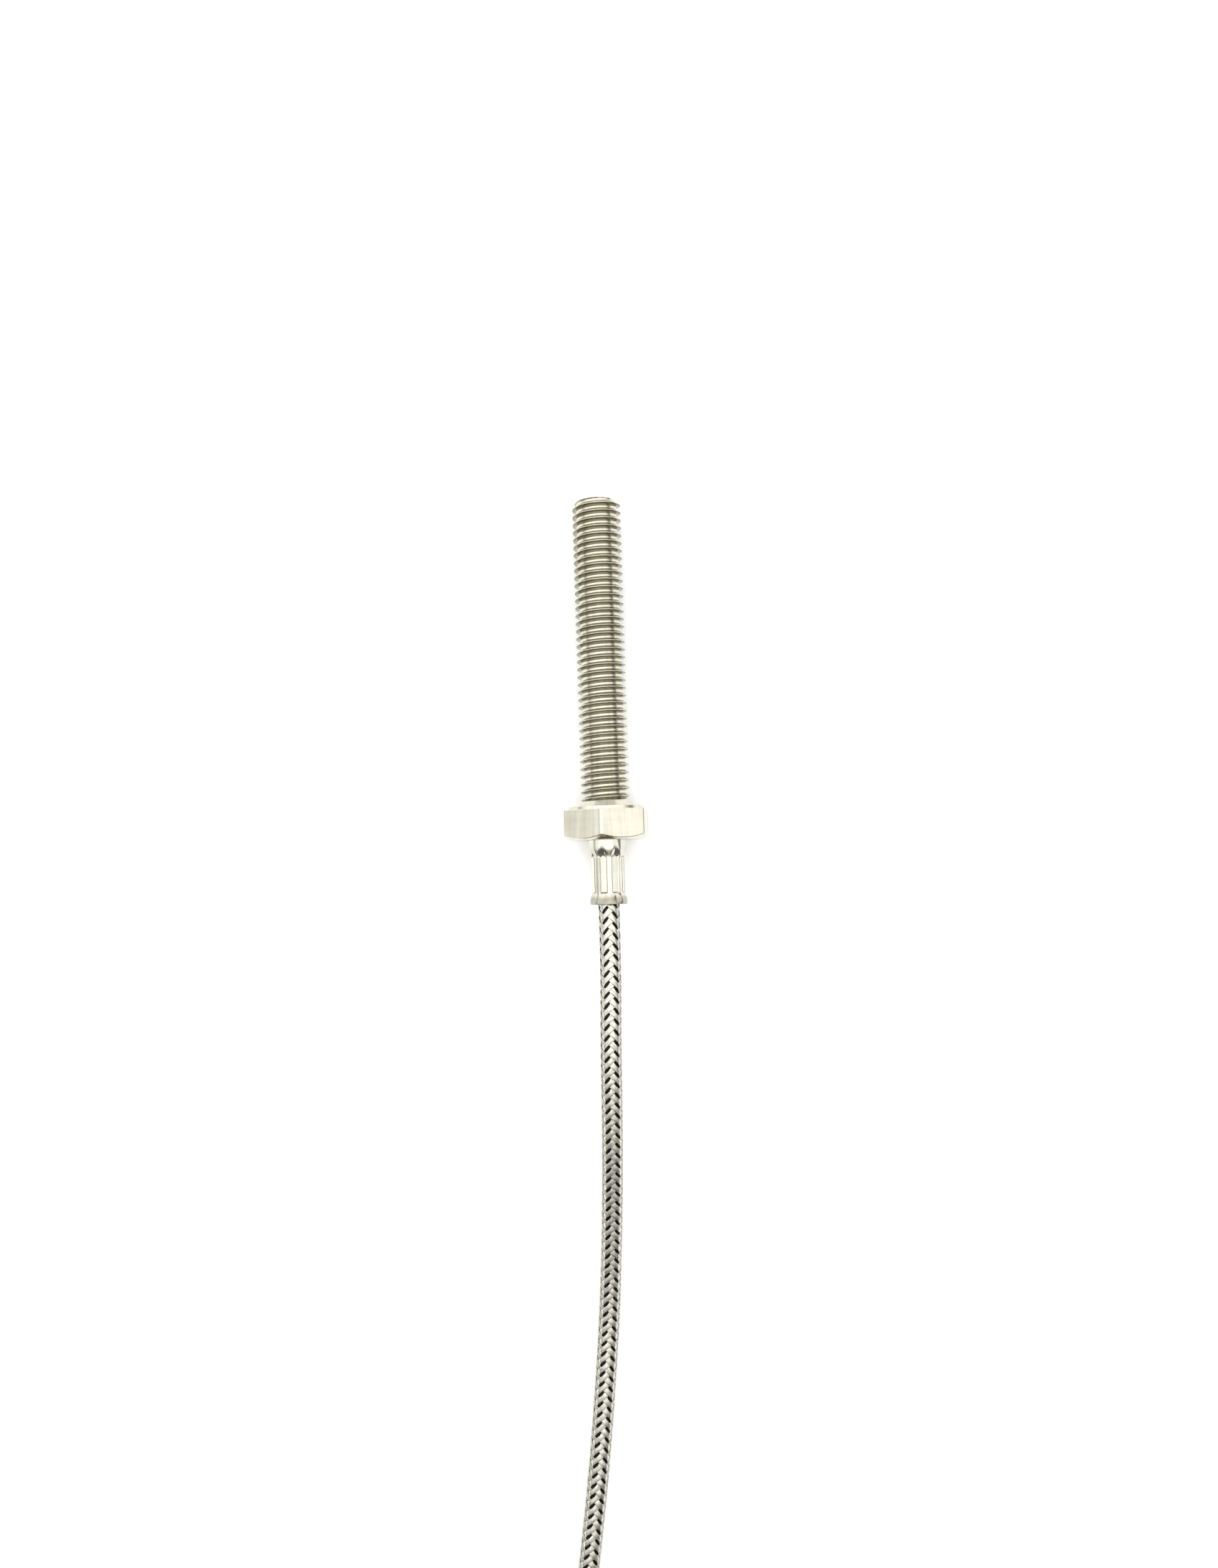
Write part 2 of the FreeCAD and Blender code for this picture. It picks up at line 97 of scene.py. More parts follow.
table_paint, tree, shader = new_material("table_white")
speck = tree.nodes.new("ShaderNodeTexNoise")
speck.inputs["Scale"].default_value = 900.0
tone = tree.nodes.new("ShaderNodeMapRange")
tone.inputs["To Min"].default_value = 0.90
tone.inputs["To Max"].default_value = 0.93
where = tree.nodes.new("ShaderNodeTexCoord")
tree.links.new(where.outputs["Object"], speck.inputs["Vector"])
tree.links.new(speck.outputs["Fac"], tone.inputs["Value"])
tree.links.new(tone.outputs["Result"], shader.inputs["Base Color"])
shader.inputs["Roughness"].default_value = 0.9
shader.inputs["Specular IOR Level"].default_value = 0.1
half = 1.5
corners = [(-half, -half), (half, -half), (half, half), (-half, half)]
table = mesh_object(
    "table",
    [(x, y, FLOOR_Z * MM) for x, y in corners],
    [(0, 1, 2, 3)],
    table_paint,
)

sky = bpy.data.worlds.new("soft_tent")
bpy.context.scene.world = sky
sky.use_nodes = True
tree = sky.node_tree
tree.nodes.clear()


def value_step(tree, operation, first, second=0.0):
    """One sum between two values or sockets of a shader or geometry tree."""
    step = tree.nodes.new("ShaderNodeMath")
    step.operation = operation
    for socket, value in zip(step.inputs, (first, second)):
        if isinstance(value, bpy.types.NodeSocket):
            tree.links.new(value, socket)
        else:
            socket.default_value = value
    return step.outputs[0]


where = tree.nodes.new("ShaderNodeTexCoord")
split = tree.nodes.new("ShaderNodeSeparateXYZ")
tree.links.new(where.outputs["Generated"], split.inputs["Vector"])


def sky_ramp(axis, start, end, low, high):
    """A smooth change of the sky's level between two heights or sides."""
    ramp = tree.nodes.new("ShaderNodeMapRange")
    ramp.interpolation_type = "SMOOTHSTEP"
    ramp.inputs["From Min"].default_value = start
    ramp.inputs["From Max"].default_value = end
    ramp.inputs["To Min"].default_value = low
    ramp.inputs["To Max"].default_value = high
    tree.links.new(split.outputs[axis], ramp.inputs["Value"])
    return ramp.outputs["Result"]


level = value_step(tree, "MULTIPLY", sky_ramp("Z", 0.02, 0.52, SKY_AT_TABLE, 1.0), SKY_LEVEL)
level = value_step(tree, "MULTIPLY", level, sky_ramp("Z", 0.72, 0.98, 1.0, SKY_OVERHEAD))
level = value_step(tree, "MULTIPLY", level, sky_ramp("Y", -0.75, -0.05, SKY_LEAD_SIDE, 1.0))
level = value_step(tree, "MULTIPLY", level, sky_ramp("X", -1.0, 0.8, SKY_LEFT, SKY_RIGHT))
level = value_step(tree, "MULTIPLY", level, sky_ramp("X", 0.82, 0.93, 1.0, SKY_LOW_RIGHT))
glow = tree.nodes.new("ShaderNodeBackground")
glow.inputs["Color"].default_value = (1.0, 0.995, 0.965, 1.0)
tree.links.new(level, glow.inputs["Strength"])
output = tree.nodes.new("ShaderNodeOutputWorld")
tree.links.new(glow.outputs["Background"], output.inputs["Surface"])

softbox_data = bpy.data.lights.new("overhead_softbox", "AREA")
softbox_data.shape = "RECTANGLE"
softbox_data.size = 0.60
softbox_data.size_y = 0.60
softbox_data.energy = 1.7
softbox = bpy.data.objects.new("overhead_softbox", softbox_data)
softbox.location = (0.02, 0.0, 0.55)
softbox.visible_glossy = False
bpy.context.scene.collection.objects.link(softbox)


# ---- Lead: the cord's core, painted near-black as shade, and its put-away hank ----
# Two insulated thermocouple wires under a round metal braid, 3.5 mm over all and 0.98 m long.
# It leaves the ferrule straight, sags on to the table, and is folded into a hank round a tie.
BOLT_DIP_DEG = 4.008
LEAD_D = 3.5
LEAD_FACE = -13.8
CORE_R = 1.46
LOW = FLOOR_Z + LEAD_D / 2 + 0.04
LAYER = 3.55
HANK_FRONT_Y, HANK_BACK_Y, HANK_WAIST_Y = -146.75, -194.75, -170.75
INNER_LOOP_R, INNER_WAIST_X, COLUMN_STEP = 12.0, 1.76, 3.55
WAIST_LIFT = 1.25
SLEEVE_AT = Vector((9.6, -189.5, 1.867))
SLEEVE_TO = Vector((7.2, -178.8, 1.867))
sleeve_way = (SLEEVE_TO - SLEEVE_AT).normalized()
bolt_frame = Matrix.Rotation(-math.radians(BOLT_DIP_DEG), 4, "X")


def on_axis(along):
    """The row-frame point, in millimetres, that far along the bolt's axis."""
    return bolt_frame @ Vector((0.0, along, 0.0))


route = [
    on_axis(LEAD_FACE),
    on_axis(-25.0),
    Vector((-0.42, -37.5, 2.02)),
    Vector((-0.60, -51.0, 0.35)),
    Vector((-1.08, -66.0, -2.85)),
    Vector((-1.95, -82.0, LOW + 0.25)),
    Vector((-3.4, -98.0, LOW)),
    Vector((-5.1, -113.0, LOW)),
    Vector((-7.0, -126.5, LOW)),
    Vector((-8.9, -139.0, LOW)),
]
EYE = 0.7071 * INNER_LOOP_R
inner_turn = [
    (-INNER_LOOP_R, HANK_FRONT_Y),
    (-EYE, HANK_FRONT_Y - 10.0),
    (-INNER_WAIST_X, HANK_WAIST_Y + 7.0),
    (-INNER_WAIST_X, HANK_WAIST_Y - 7.0),
    (-EYE, HANK_BACK_Y + 10.0),
    (-INNER_LOOP_R, HANK_BACK_Y),
    (-EYE, HANK_BACK_Y - EYE),
    (0.0, HANK_BACK_Y - INNER_LOOP_R),
    (EYE, HANK_BACK_Y - EYE),
    (INNER_LOOP_R, HANK_BACK_Y),
    (EYE, HANK_BACK_Y + 10.0),
    (INNER_WAIST_X, HANK_WAIST_Y - 7.0),
    (INNER_WAIST_X, HANK_WAIST_Y + 7.0),
    (EYE, HANK_FRONT_Y - 10.0),
    (INNER_LOOP_R, HANK_FRONT_Y),
    (EYE, HANK_FRONT_Y + EYE),
    (0.0, HANK_FRONT_Y + INNER_LOOP_R),
    (-EYE, HANK_FRONT_Y + EYE),
]
waist_rise = {1: 0.35, 2: 1.0, 3: 1.0, 4: 0.35, 10: 0.35, 11: 1.0, 12: 1.0, 13: 0.35}
turn_columns = [0, 1, 1, 0, 0]
turn_layers = [0, 0, 1, 1, 2]
turn_slack = [0.0, -0.25, 0.1, 0.3, 0.0]
LAST_STATION = 8
stations = len(inner_turn)
for turn in range(5):
    stops = stations if turn < 4 else LAST_STATION + 1
    for k in range(stops):
        before, at, after = (Vector(inner_turn[(k + d) % stations]) for d in (-1, 0, 1))
        out = Vector((before.y - after.y, after.x - before.x)).normalized()
        next_turn = min(turn + 1, 4)
        over_lead = max(0.0, (k - 15) / 2)
        column = turn_columns[turn] + over_lead * 0.35 * (turn_columns[next_turn] - turn_columns[turn])
        height = LOW + LAYER * turn_layers[turn] + WAIST_LIFT * waist_rise.get(k, 0.0)
        if turn < 4 and k in (15, 16, 17):
            height += {15: 1.0, 16: 3.45, 17: 3.72}[k]
        if k == 0 and turn in (1, 3):
            height += 1.2
        spot = at + out * -(COLUMN_STEP * column + turn_slack[turn])
        route.append(Vector((spot.x, spot.y, height)))
route.append(SLEEVE_AT - sleeve_way * 4.2)
route.append(SLEEVE_AT - sleeve_way * 0.4)
route.append(SLEEVE_AT + sleeve_way * 3.0)


def nurbs_cord(name, points, radius, material, steps=6):
    """A smooth cord through control points in millimetres, as one NURBS spline."""
    data = bpy.data.curves.new(name, "CURVE")
    data.dimensions = "3D"
    data.resolution_u = steps
    data.bevel_depth = radius * MM
    data.bevel_resolution = 5
    data.use_fill_caps = radius > 0
    spline = data.splines.new("NURBS")
    spline.points.add(len(points) - 1)
    for slot, point in zip(spline.points, points):
        slot.co = (*(point * MM), 1.0)
    spline.order_u = 3
    spline.use_endpoint_u = True
    if material:
        data.materials.append(material)
    made = bpy.data.objects.new(name, data)
    bpy.context.scene.collection.objects.link(made)
    return made


# painted shade: the core is coloured near-black so the gaps in the braid look shadowed
core_painted_shade, tree, shader = new_material("lead_core_painted_shade")
where = tree.nodes.new("ShaderNodeTexCoord")
weave = tree.nodes.new("ShaderNodeTexNoise")
weave.inputs["Scale"].default_value = 4200.0
weave.inputs["Detail"].default_value = 4.0
shade = tree.nodes.new("ShaderNodeValToRGB")
shade.color_ramp.elements[0].color = (0.006, 0.006, 0.005, 1.0)
shade.color_ramp.elements[1].color = (0.035, 0.033, 0.028, 1.0)
lift = tree.nodes.new("ShaderNodeBump")
lift.inputs["Distance"].default_value = 0.00003
lift.inputs["Strength"].default_value = 0.6
tree.links.new(where.outputs["Object"], weave.inputs["Vector"])
tree.links.new(weave.outputs["Fac"], shade.inputs["Fac"])
tree.links.new(shade.outputs["Color"], shader.inputs["Base Color"])
tree.links.new(weave.outputs["Fac"], lift.inputs["Height"])
tree.links.new(lift.outputs["Normal"], shader.inputs["Normal"])
shader.inputs["Roughness"].default_value = 0.75

lead_core = nurbs_cord("lead_core", route, CORE_R, core_painted_shade)
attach(lead_core, "lead")
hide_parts("lead_cable", "lead_hank")


# ---- Braid: twelve bundles of fine wires over the core ----
# Six bundles run each way, two over and two under, and each is a flat ribbon of six wires.
# The ferrule crimps their near ends and the end sleeve covers their far ends.
BRAID_R = 1.585
BRAID_LAY = 10.1
BUNDLES_EACH_WAY = 6
BUNDLE_WIDTH, BUNDLE_SPREAD = 0.95, 0.21
BUNDLE_LIFT = 0.085
WIRE_PEAK, WIRE_VALLEY, BUNDLE_UNDER = 0.062, 0.012, 0.04
PLAITS_AROUND = BUNDLES_EACH_WAY / 2
PLAIT_TURN_DEG, BUNDLE_TURN_DEG = 5.5, -9.5
FINE_STEP, COARSE_STEP, FINE_UNTIL = 0.26, 0.85, 130.0
BRAID_FROM = 0.6

path_only = nurbs_cord("braid_path", route, 0.0, None, steps=24)
bpy.context.view_layer.update()
evaluated = path_only.evaluated_get(bpy.context.evaluated_depsgraph_get())
read_line = bpy.data.meshes.new_from_object(evaluated)
line = [v.co / MM for v in read_line.vertices]
bpy.data.objects.remove(path_only)
bpy.data.meshes.remove(read_line)

runs = [0.0]
for a, b in zip(line, line[1:]):
    runs.append(runs[-1] + (b - a).length)
wanted = []
run = BRAID_FROM
while run < runs[-1] - 0.5:
    wanted.append(run)
    run += FINE_STEP if run < FINE_UNTIL else COARSE_STEP
spine_points, at = [], 0
for run in wanted:
    while runs[at + 1] < run:
        at += 1
    share = (run - runs[at]) / (runs[at + 1] - runs[at])
    spine_points.append(line[at].lerp(line[at + 1], share) * MM)


def new_tree(name, sizes):
    """A geometry tree with named number inputs, and a dict of its sockets."""
    made = bpy.data.node_groups.new(name, "GeometryNodeTree")
    made.interface.new_socket("Geometry", in_out="INPUT", socket_type="NodeSocketGeometry")
    for size in sizes:
        made.interface.new_socket(size, in_out="INPUT", socket_type="NodeSocketFloat")
    made.interface.new_socket("Geometry", in_out="OUTPUT", socket_type="NodeSocketGeometry")
    entry = made.nodes.new("NodeGroupInput")
    return made, {socket.name: socket for socket in entry.outputs if socket.name}


def vector_step(tree, operation, first, second):
    """One vector sum of a geometry tree. A scale's second value is a number."""
    step = tree.nodes.new("ShaderNodeVectorMath")
    step.operation = operation
    sockets = (step.inputs[0], step.inputs["Scale"] if operation == "SCALE" else step.inputs[1])
    for socket, value in zip(sockets, (first, second)):
        if isinstance(value, bpy.types.NodeSocket):
            tree.links.new(value, socket)
        else:
            socket.default_value = value
    return step.outputs["Value"] if operation == "DOT_PRODUCT" else step.outputs["Vector"]


def joined(tree, kind, **inputs):
    """A node of that kind with the named inputs set or linked."""
    made = tree.nodes.new(kind)
    for name, value in inputs.items():
        socket = made.inputs[name.replace("_", " ")]
        if isinstance(value, bpy.types.NodeSocket):
            tree.links.new(value, socket)
        else:
            socket.default_value = value
    return made


def close_tree(tree, geometry, material):
    """Ends a tree in Realize Instances and Set Material."""
    solid = joined(tree, "GeometryNodeRealizeInstances", Geometry=geometry)
    finish = joined(tree, "GeometryNodeSetMaterial", Geometry=solid.outputs["Geometry"], Material=material)
    output = tree.nodes.new("NodeGroupOutput")
    tree.links.new(finish.outputs["Geometry"], output.inputs["Geometry"])


def grown(name, mesh, tree, sizes):
    """The plain mesh object that the tree makes from a mesh with these sizes."""
    seed = bpy.data.objects.new(name + "_seed", mesh)
    bpy.context.scene.collection.objects.link(seed)
    growth = seed.modifiers.new("growth", "NODES")
    growth.node_group = tree
    for item in tree.interface.items_tree:
        if item.in_out == "INPUT" and item.name in sizes:
            growth[item.identifier] = float(sizes[item.name])
    bpy.context.view_layer.update()
    evaluated = seed.evaluated_get(bpy.context.evaluated_depsgraph_get())
    result = bpy.data.meshes.new_from_object(evaluated)
    result.name = name
    bpy.data.objects.remove(seed)
    made = bpy.data.objects.new(name, result)
    bpy.context.scene.collection.objects.link(made)
    return made


braid_wire, tree, shader = new_material("braid_wire")
spot = tree.nodes.new("ShaderNodeUVMap")
spot.uv_map = "UVMap"
stretch = joined(tree, "ShaderNodeMapping", Vector=spot.outputs["UV"], Scale=(9.0, 1.3, 1.0))
streak = joined(tree, "ShaderNodeTexNoise", Vector=stretch.outputs["Vector"], Scale=1.0, Detail=3.0)
tint = joined(tree, "ShaderNodeValToRGB", Fac=streak.outputs["Fac"])
tint.color_ramp.elements[0].position = 0.3
tint.color_ramp.elements[0].color = (0.36, 0.35, 0.30, 1.0)
tint.color_ramp.elements[1].position = 0.7
tint.color_ramp.elements[1].color = (0.97, 0.95, 0.86, 1.0)
# painted shade: the grooves between the wires are darkened, and so is a bundle where it dips under the
# others
lanes = joined(tree, "ShaderNodeSeparateXYZ", Vector=spot.outputs["UV"]).outputs["X"]
painted_groove_shade = value_step(tree, "SINE", value_step(tree, "MULTIPLY", lanes, 6 * math.pi), 0.0)
painted_groove_shade = joined(tree, "ShaderNodeMapRange", Value=value_step(tree, "ABSOLUTE", painted_groove_shade))
painted_groove_shade.inputs["From Max"].default_value = 0.7
painted_groove_shade.inputs["To Min"].default_value = 0.30
height = tree.nodes.new("ShaderNodeAttribute")
height.attribute_name = "rise"
painted_dip_shade = joined(tree, "ShaderNodeMapRange", Value=height.outputs["Fac"])
painted_dip_shade.inputs["From Min"].default_value = -0.95
painted_dip_shade.inputs["From Max"].default_value = -0.2
painted_dip_shade.inputs["To Min"].default_value = 0.03
shadow = value_step(tree, "MULTIPLY", painted_groove_shade.outputs["Result"], painted_dip_shade.outputs["Result"])
shaded = joined(tree, "ShaderNodeVectorMath")
shaded.operation = "SCALE"
tree.links.new(tint.outputs["Color"], shaded.inputs[0])
tree.links.new(shadow, shaded.inputs["Scale"])
tree.links.new(shaded.outputs["Vector"], shader.inputs["Base Color"])
rough = joined(tree, "ShaderNodeMapRange", Value=streak.outputs["Fac"])
rough.inputs["To Min"].default_value = 0.20
rough.inputs["To Max"].default_value = 0.36
tree.links.new(rough.outputs["Result"], shader.inputs["Roughness"])
lift = joined(tree, "ShaderNodeBump", Height=streak.outputs["Fac"], Strength=0.25, Distance=0.00002)
tree.links.new(lift.outputs["Normal"], shader.inputs["Normal"])
shader.inputs["Metallic"].default_value = 1.0

bundle_tree, size = new_tree(
    "wire_bundle", ["Start angle", "Turn rate", "Side", "Radius", "Lift", "Width", "Plait angle"]
)
path = joined(bundle_tree, "GeometryNodeMeshToCurve", Mesh=size["Geometry"]).outputs["Curve"]
along = bundle_tree.nodes.new("GeometryNodeSplineParameter").outputs["Length"]
tangent = bundle_tree.nodes.new("GeometryNodeInputTangent").outputs["Tangent"]
sideways = vector_step(bundle_tree, "CROSS_PRODUCT", tangent, (0.0, 0.0, 1.0))
sideways = vector_step(bundle_tree, "NORMALIZE", sideways, (0.0, 0.0, 0.0))
upwards = vector_step(bundle_tree, "CROSS_PRODUCT", sideways, tangent)
bundle_step = partial(value_step, bundle_tree)
angle = bundle_step("MULTIPLY", along, size["Turn rate"])
angle = bundle_step("MULTIPLY", angle, size["Side"])
angle = bundle_step("ADD", angle, size["Start angle"])
to_side = vector_step(bundle_tree, "SCALE", sideways, bundle_step("COSINE", angle))
to_top = vector_step(bundle_tree, "SCALE", upwards, bundle_step("SINE", angle))
radial = vector_step(bundle_tree, "ADD", to_side, to_top)
plait = bundle_step("SUBTRACT", angle, size["Plait angle"])
plait = bundle_step("COSINE", bundle_step("MULTIPLY", plait, PLAITS_AROUND), 0.0)
plait = bundle_step("MULTIPLY", plait, 1.6)
plait = bundle_step("MAXIMUM", bundle_step("MINIMUM", plait, 1.0), -1.0)
plait = bundle_step("MULTIPLY", plait, size["Side"])
height = bundle_step("MULTIPLY", plait, size["Lift"])
height = bundle_step("ADD", height, size["Radius"])
keep = joined(bundle_tree, "GeometryNodeStoreNamedAttribute", Geometry=path, Name="outward")
keep.data_type = "FLOAT_VECTOR"
bundle_tree.links.new(radial, keep.inputs["Value"])
keep_run = joined(
    bundle_tree, "GeometryNodeStoreNamedAttribute", Geometry=keep.outputs["Geometry"], Name="run"
)
keep_run.data_type = "FLOAT"
bundle_tree.links.new(along, keep_run.inputs["Value"])
keep_rise = joined(
    bundle_tree, "GeometryNodeStoreNamedAttribute", Geometry=keep_run.outputs["Geometry"], Name="rise"
)
keep_rise.data_type = "FLOAT"
bundle_tree.links.new(plait, keep_rise.inputs["Value"])
offset = vector_step(bundle_tree, "SCALE", radial, height)
moved = joined(
    bundle_tree, "GeometryNodeSetPosition", Geometry=keep_rise.outputs["Geometry"], Offset=offset
)
outward = joined(bundle_tree, "GeometryNodeInputNamedAttribute", Name="outward")
outward.data_type = "FLOAT_VECTOR"
facing = joined(bundle_tree, "GeometryNodeSetCurveNormal", Curve=moved.outputs["Geometry"])
facing.mode = "FREE"
bundle_tree.links.new(outward.outputs["Attribute"], facing.inputs["Normal"])
ribbon_way = bundle_tree.nodes.new("GeometryNodeInputTangent").outputs["Tangent"]
ribbon_way = vector_step(bundle_tree, "CROSS_PRODUCT", ribbon_way, outward.outputs["Attribute"])
keep_way = joined(
    bundle_tree, "GeometryNodeStoreNamedAttribute", Geometry=facing.outputs["Curve"], Name="across way"
)
keep_way.data_type = "FLOAT_VECTOR"
bundle_tree.links.new(ribbon_way, keep_way.inputs["Value"])
# one bundle's cross-section: six wire crowns on top of a flat back, bowed round the core
ring = joined(bundle_tree, "GeometryNodeCurvePrimitiveCircle", Resolution=16, Radius=1.0)
number = bundle_tree.nodes.new("GeometryNodeInputIndex").outputs["Index"]
on_back = bundle_step("GREATER_THAN", number, 12.5)
crown_x = bundle_step("SUBTRACT", 0.5, bundle_step("DIVIDE", number, 12.0))
back_x = bundle_step("SUBTRACT", bundle_step("DIVIDE", number, 4.0), 3.5)
span = bundle_step("SUBTRACT", back_x, crown_x)
share = bundle_step("MULTIPLY", span, on_back)
share = bundle_step("ADD", share, crown_x)
across = bundle_step("MULTIPLY", share, size["Width"])
odd = bundle_step("MODULO", number, 2.0)
crown_y = bundle_step("MULTIPLY", odd, (WIRE_PEAK - WIRE_VALLEY) * MM)
crown_y = bundle_step("ADD", crown_y, WIRE_VALLEY * MM)
drop = bundle_step("SUBTRACT", -BUNDLE_UNDER * MM, crown_y)
drop = bundle_step("MULTIPLY", drop, on_back)
thick = bundle_step("ADD", crown_y, drop)
bow = bundle_step("MULTIPLY", across, across)
bow = bundle_step("DIVIDE", bow, 2.0 * BRAID_R * MM)
thick = bundle_step("SUBTRACT", thick, bow)
section = joined(bundle_tree, "ShaderNodeCombineXYZ", X=thick, Y=across)
outline = joined(
    bundle_tree,
    "GeometryNodeSetPosition",
    Geometry=ring.outputs["Curve"],
    Position=section.outputs["Vector"],
)
keep_share = joined(
    bundle_tree, "GeometryNodeStoreNamedAttribute", Geometry=outline.outputs["Geometry"], Name="share"
)
keep_share.data_type = "FLOAT"
bundle_tree.links.new(share, keep_share.inputs["Value"])
swept = joined(
    bundle_tree,
    "GeometryNodeCurveToMesh",
    Curve=keep_way.outputs["Geometry"],
    Profile_Curve=keep_share.outputs["Geometry"],
    Fill_Caps=True,
)
turned_out = joined(bundle_tree, "GeometryNodeFlipFaces", Mesh=swept.outputs["Mesh"])
read_share = joined(bundle_tree, "GeometryNodeInputNamedAttribute", Name="share")
# a bundle is drawn narrow where it floats over the others, and spreads where it dips under
read_rise = joined(bundle_tree, "GeometryNodeInputNamedAttribute", Name="rise")
read_way = joined(bundle_tree, "GeometryNodeInputNamedAttribute", Name="across way")
read_way.data_type = "FLOAT_VECTOR"
spread = bundle_step("MULTIPLY", read_rise.outputs["Attribute"], -BUNDLE_SPREAD)
spread = bundle_step("MULTIPLY", spread, read_share.outputs["Attribute"])
spread = bundle_step("MULTIPLY", spread, size["Width"])
drawn = joined(
    bundle_tree,
    "GeometryNodeSetPosition",
    Geometry=turned_out.outputs["Mesh"],
    Offset=vector_step(bundle_tree, "SCALE", read_way.outputs["Attribute"], spread),
)
read_run = joined(bundle_tree, "GeometryNodeInputNamedAttribute", Name="run")
length_mm = bundle_step("MULTIPLY", read_run.outputs["Attribute"], 1000.0)
flat = joined(bundle_tree, "ShaderNodeCombineXYZ", X=read_share.outputs["Attribute"], Y=length_mm)
unwrap = joined(
    bundle_tree, "GeometryNodeStoreNamedAttribute", Geometry=drawn.outputs["Geometry"], Name="UVMap"
)
unwrap.data_type = "FLOAT2"
unwrap.domain = "CORNER"
bundle_tree.links.new(flat.outputs["Vector"], unwrap.inputs["Value"])
close_tree(bundle_tree, unwrap.outputs["Geometry"], braid_wire)

for way_name, side in (("right", 1.0), ("left", -1.0)):
    for number in range(BUNDLES_EACH_WAY):
        spine = bpy.data.meshes.new("braid_spine")
        spine.from_pydata(spine_points, [(k, k + 1) for k in range(len(spine_points) - 1)], [])
        bundle = grown(
            f"braid_bundle_{way_name}_{number + 1}",
            spine,
            bundle_tree,
            {
                "Start angle": 2 * math.pi * number / BUNDLES_EACH_WAY
                + math.radians(BUNDLE_TURN_DEG),
                "Turn rate": 2 * math.pi / (BRAID_LAY * MM),
                "Side": side,
                "Radius": BRAID_R * MM,
                "Lift": BUNDLE_LIFT * MM,
                "Width": BUNDLE_WIDTH * MM,
                "Plait angle": math.radians(PLAIT_TURN_DEG),
            },
        )
        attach(bundle, "lead")


# ---- Hank tie: releasable nylon cable tie round the folded lead ----
# One moulded strap with fine cross teeth, passed through its own lock head on top.
# It draws the folded lead together at its waist and is taken off before fitting.
TIE_Y, TIE_WIDTH, TIE_T = -170.75, 4.8, 1.15
TIE_HALF_X, TIE_LOW, TIE_HIGH = 8.25, -7.373, 5.487
TIE_CORNER_R = 3.2
TOOTH_PITCH, TOOTH_H = 0.62, 0.10
TIE_HEAD_FROM, TIE_HEAD_TO = Vector((0.6, -173.95, 4.89)), Vector((7.0, -167.55, 9.29))
FREE_END_FROM, FREE_END_TO, FREE_END_Z = 5.6, 15.0, 7.04

nylon, tree, shader = new_material("tie_nylon")
where = tree.nodes.new("ShaderNodeTexCoord").outputs["Object"]
mottle = joined(tree, "ShaderNodeTexNoise", Vector=where, Scale=700.0, Detail=4.0)
shade = joined(tree, "ShaderNodeValToRGB", Fac=mottle.outputs["Fac"])
shade.color_ramp.elements[0].color = (0.018, 0.018, 0.019, 1.0)
shade.color_ramp.elements[1].color = (0.034, 0.034, 0.036, 1.0)
rough = joined(tree, "ShaderNodeMapRange", Value=mottle.outputs["Fac"])
rough.inputs["To Min"].default_value = 0.32
rough.inputs["To Max"].default_value = 0.52
lift = joined(tree, "ShaderNodeBump", Height=mottle.outputs["Fac"], Strength=0.3, Distance=0.00003)
tree.links.new(shade.outputs["Color"], shader.inputs["Base Color"])
tree.links.new(rough.outputs["Result"], shader.inputs["Roughness"])
tree.links.new(lift.outputs["Normal"], shader.inputs["Normal"])


def smooth(value, start, end):
    """0 before start, 1 past end, and an even rise between them."""
    share = min(1.0, max(0.0, (value - start) / (end - start)))
    return share * share * (3 - 2 * share)


def even_turns(columns):
    """So many angles in degrees, spread evenly round the axis."""
    return [360.0 * k / columns for k in range(columns)]


def ring_stack(name, rings, turns, material, frame_matrix, closed_ring=False):
    """A turned skin through rings of (along, radius), at the angles in turns.

    Either may be a function of the angle. A ring with no radius is one point on the axis.
    """
    points, faces, rows = [], [], []
    columns = len(turns)
    for along, radius in rings:
        if radius == 0:
            points.append(frame_matrix @ Vector((0.0, along, 0.0)) * MM)
            rows.append([len(points) - 1] * columns)
            continue
        row = []
        for turn in turns:
            r = radius(turn) if callable(radius) else radius
            a = math.radians(turn)
            place = Vector((r * math.sin(a), along(turn) if callable(along) else along, r * math.cos(a)))
            points.append(frame_matrix @ place * MM)
            row.append(len(points) - 1)
        rows.append(row)
    pairs = list(zip(rows, rows[1:]))
    if closed_ring:
        pairs.append((rows[-1], rows[0]))
    for first, second in pairs:
        for k in range(columns):
            n = (k + 1) % columns
            corner = [first[k], first[n], second[n], second[k]]
            face = list(dict.fromkeys(corner))
            if len(face) > 2:
                faces.append(face)
    return mesh_object(name, points, faces, material)


def smooth_but_sharp(made, angle_deg):
    """Smooth shading that keeps edges sharper than the angle."""
    made.data.polygons.foreach_set("use_smooth", [True] * len(made.data.polygons))
    made.data.set_sharp_from_angle(angle=math.radians(angle_deg))


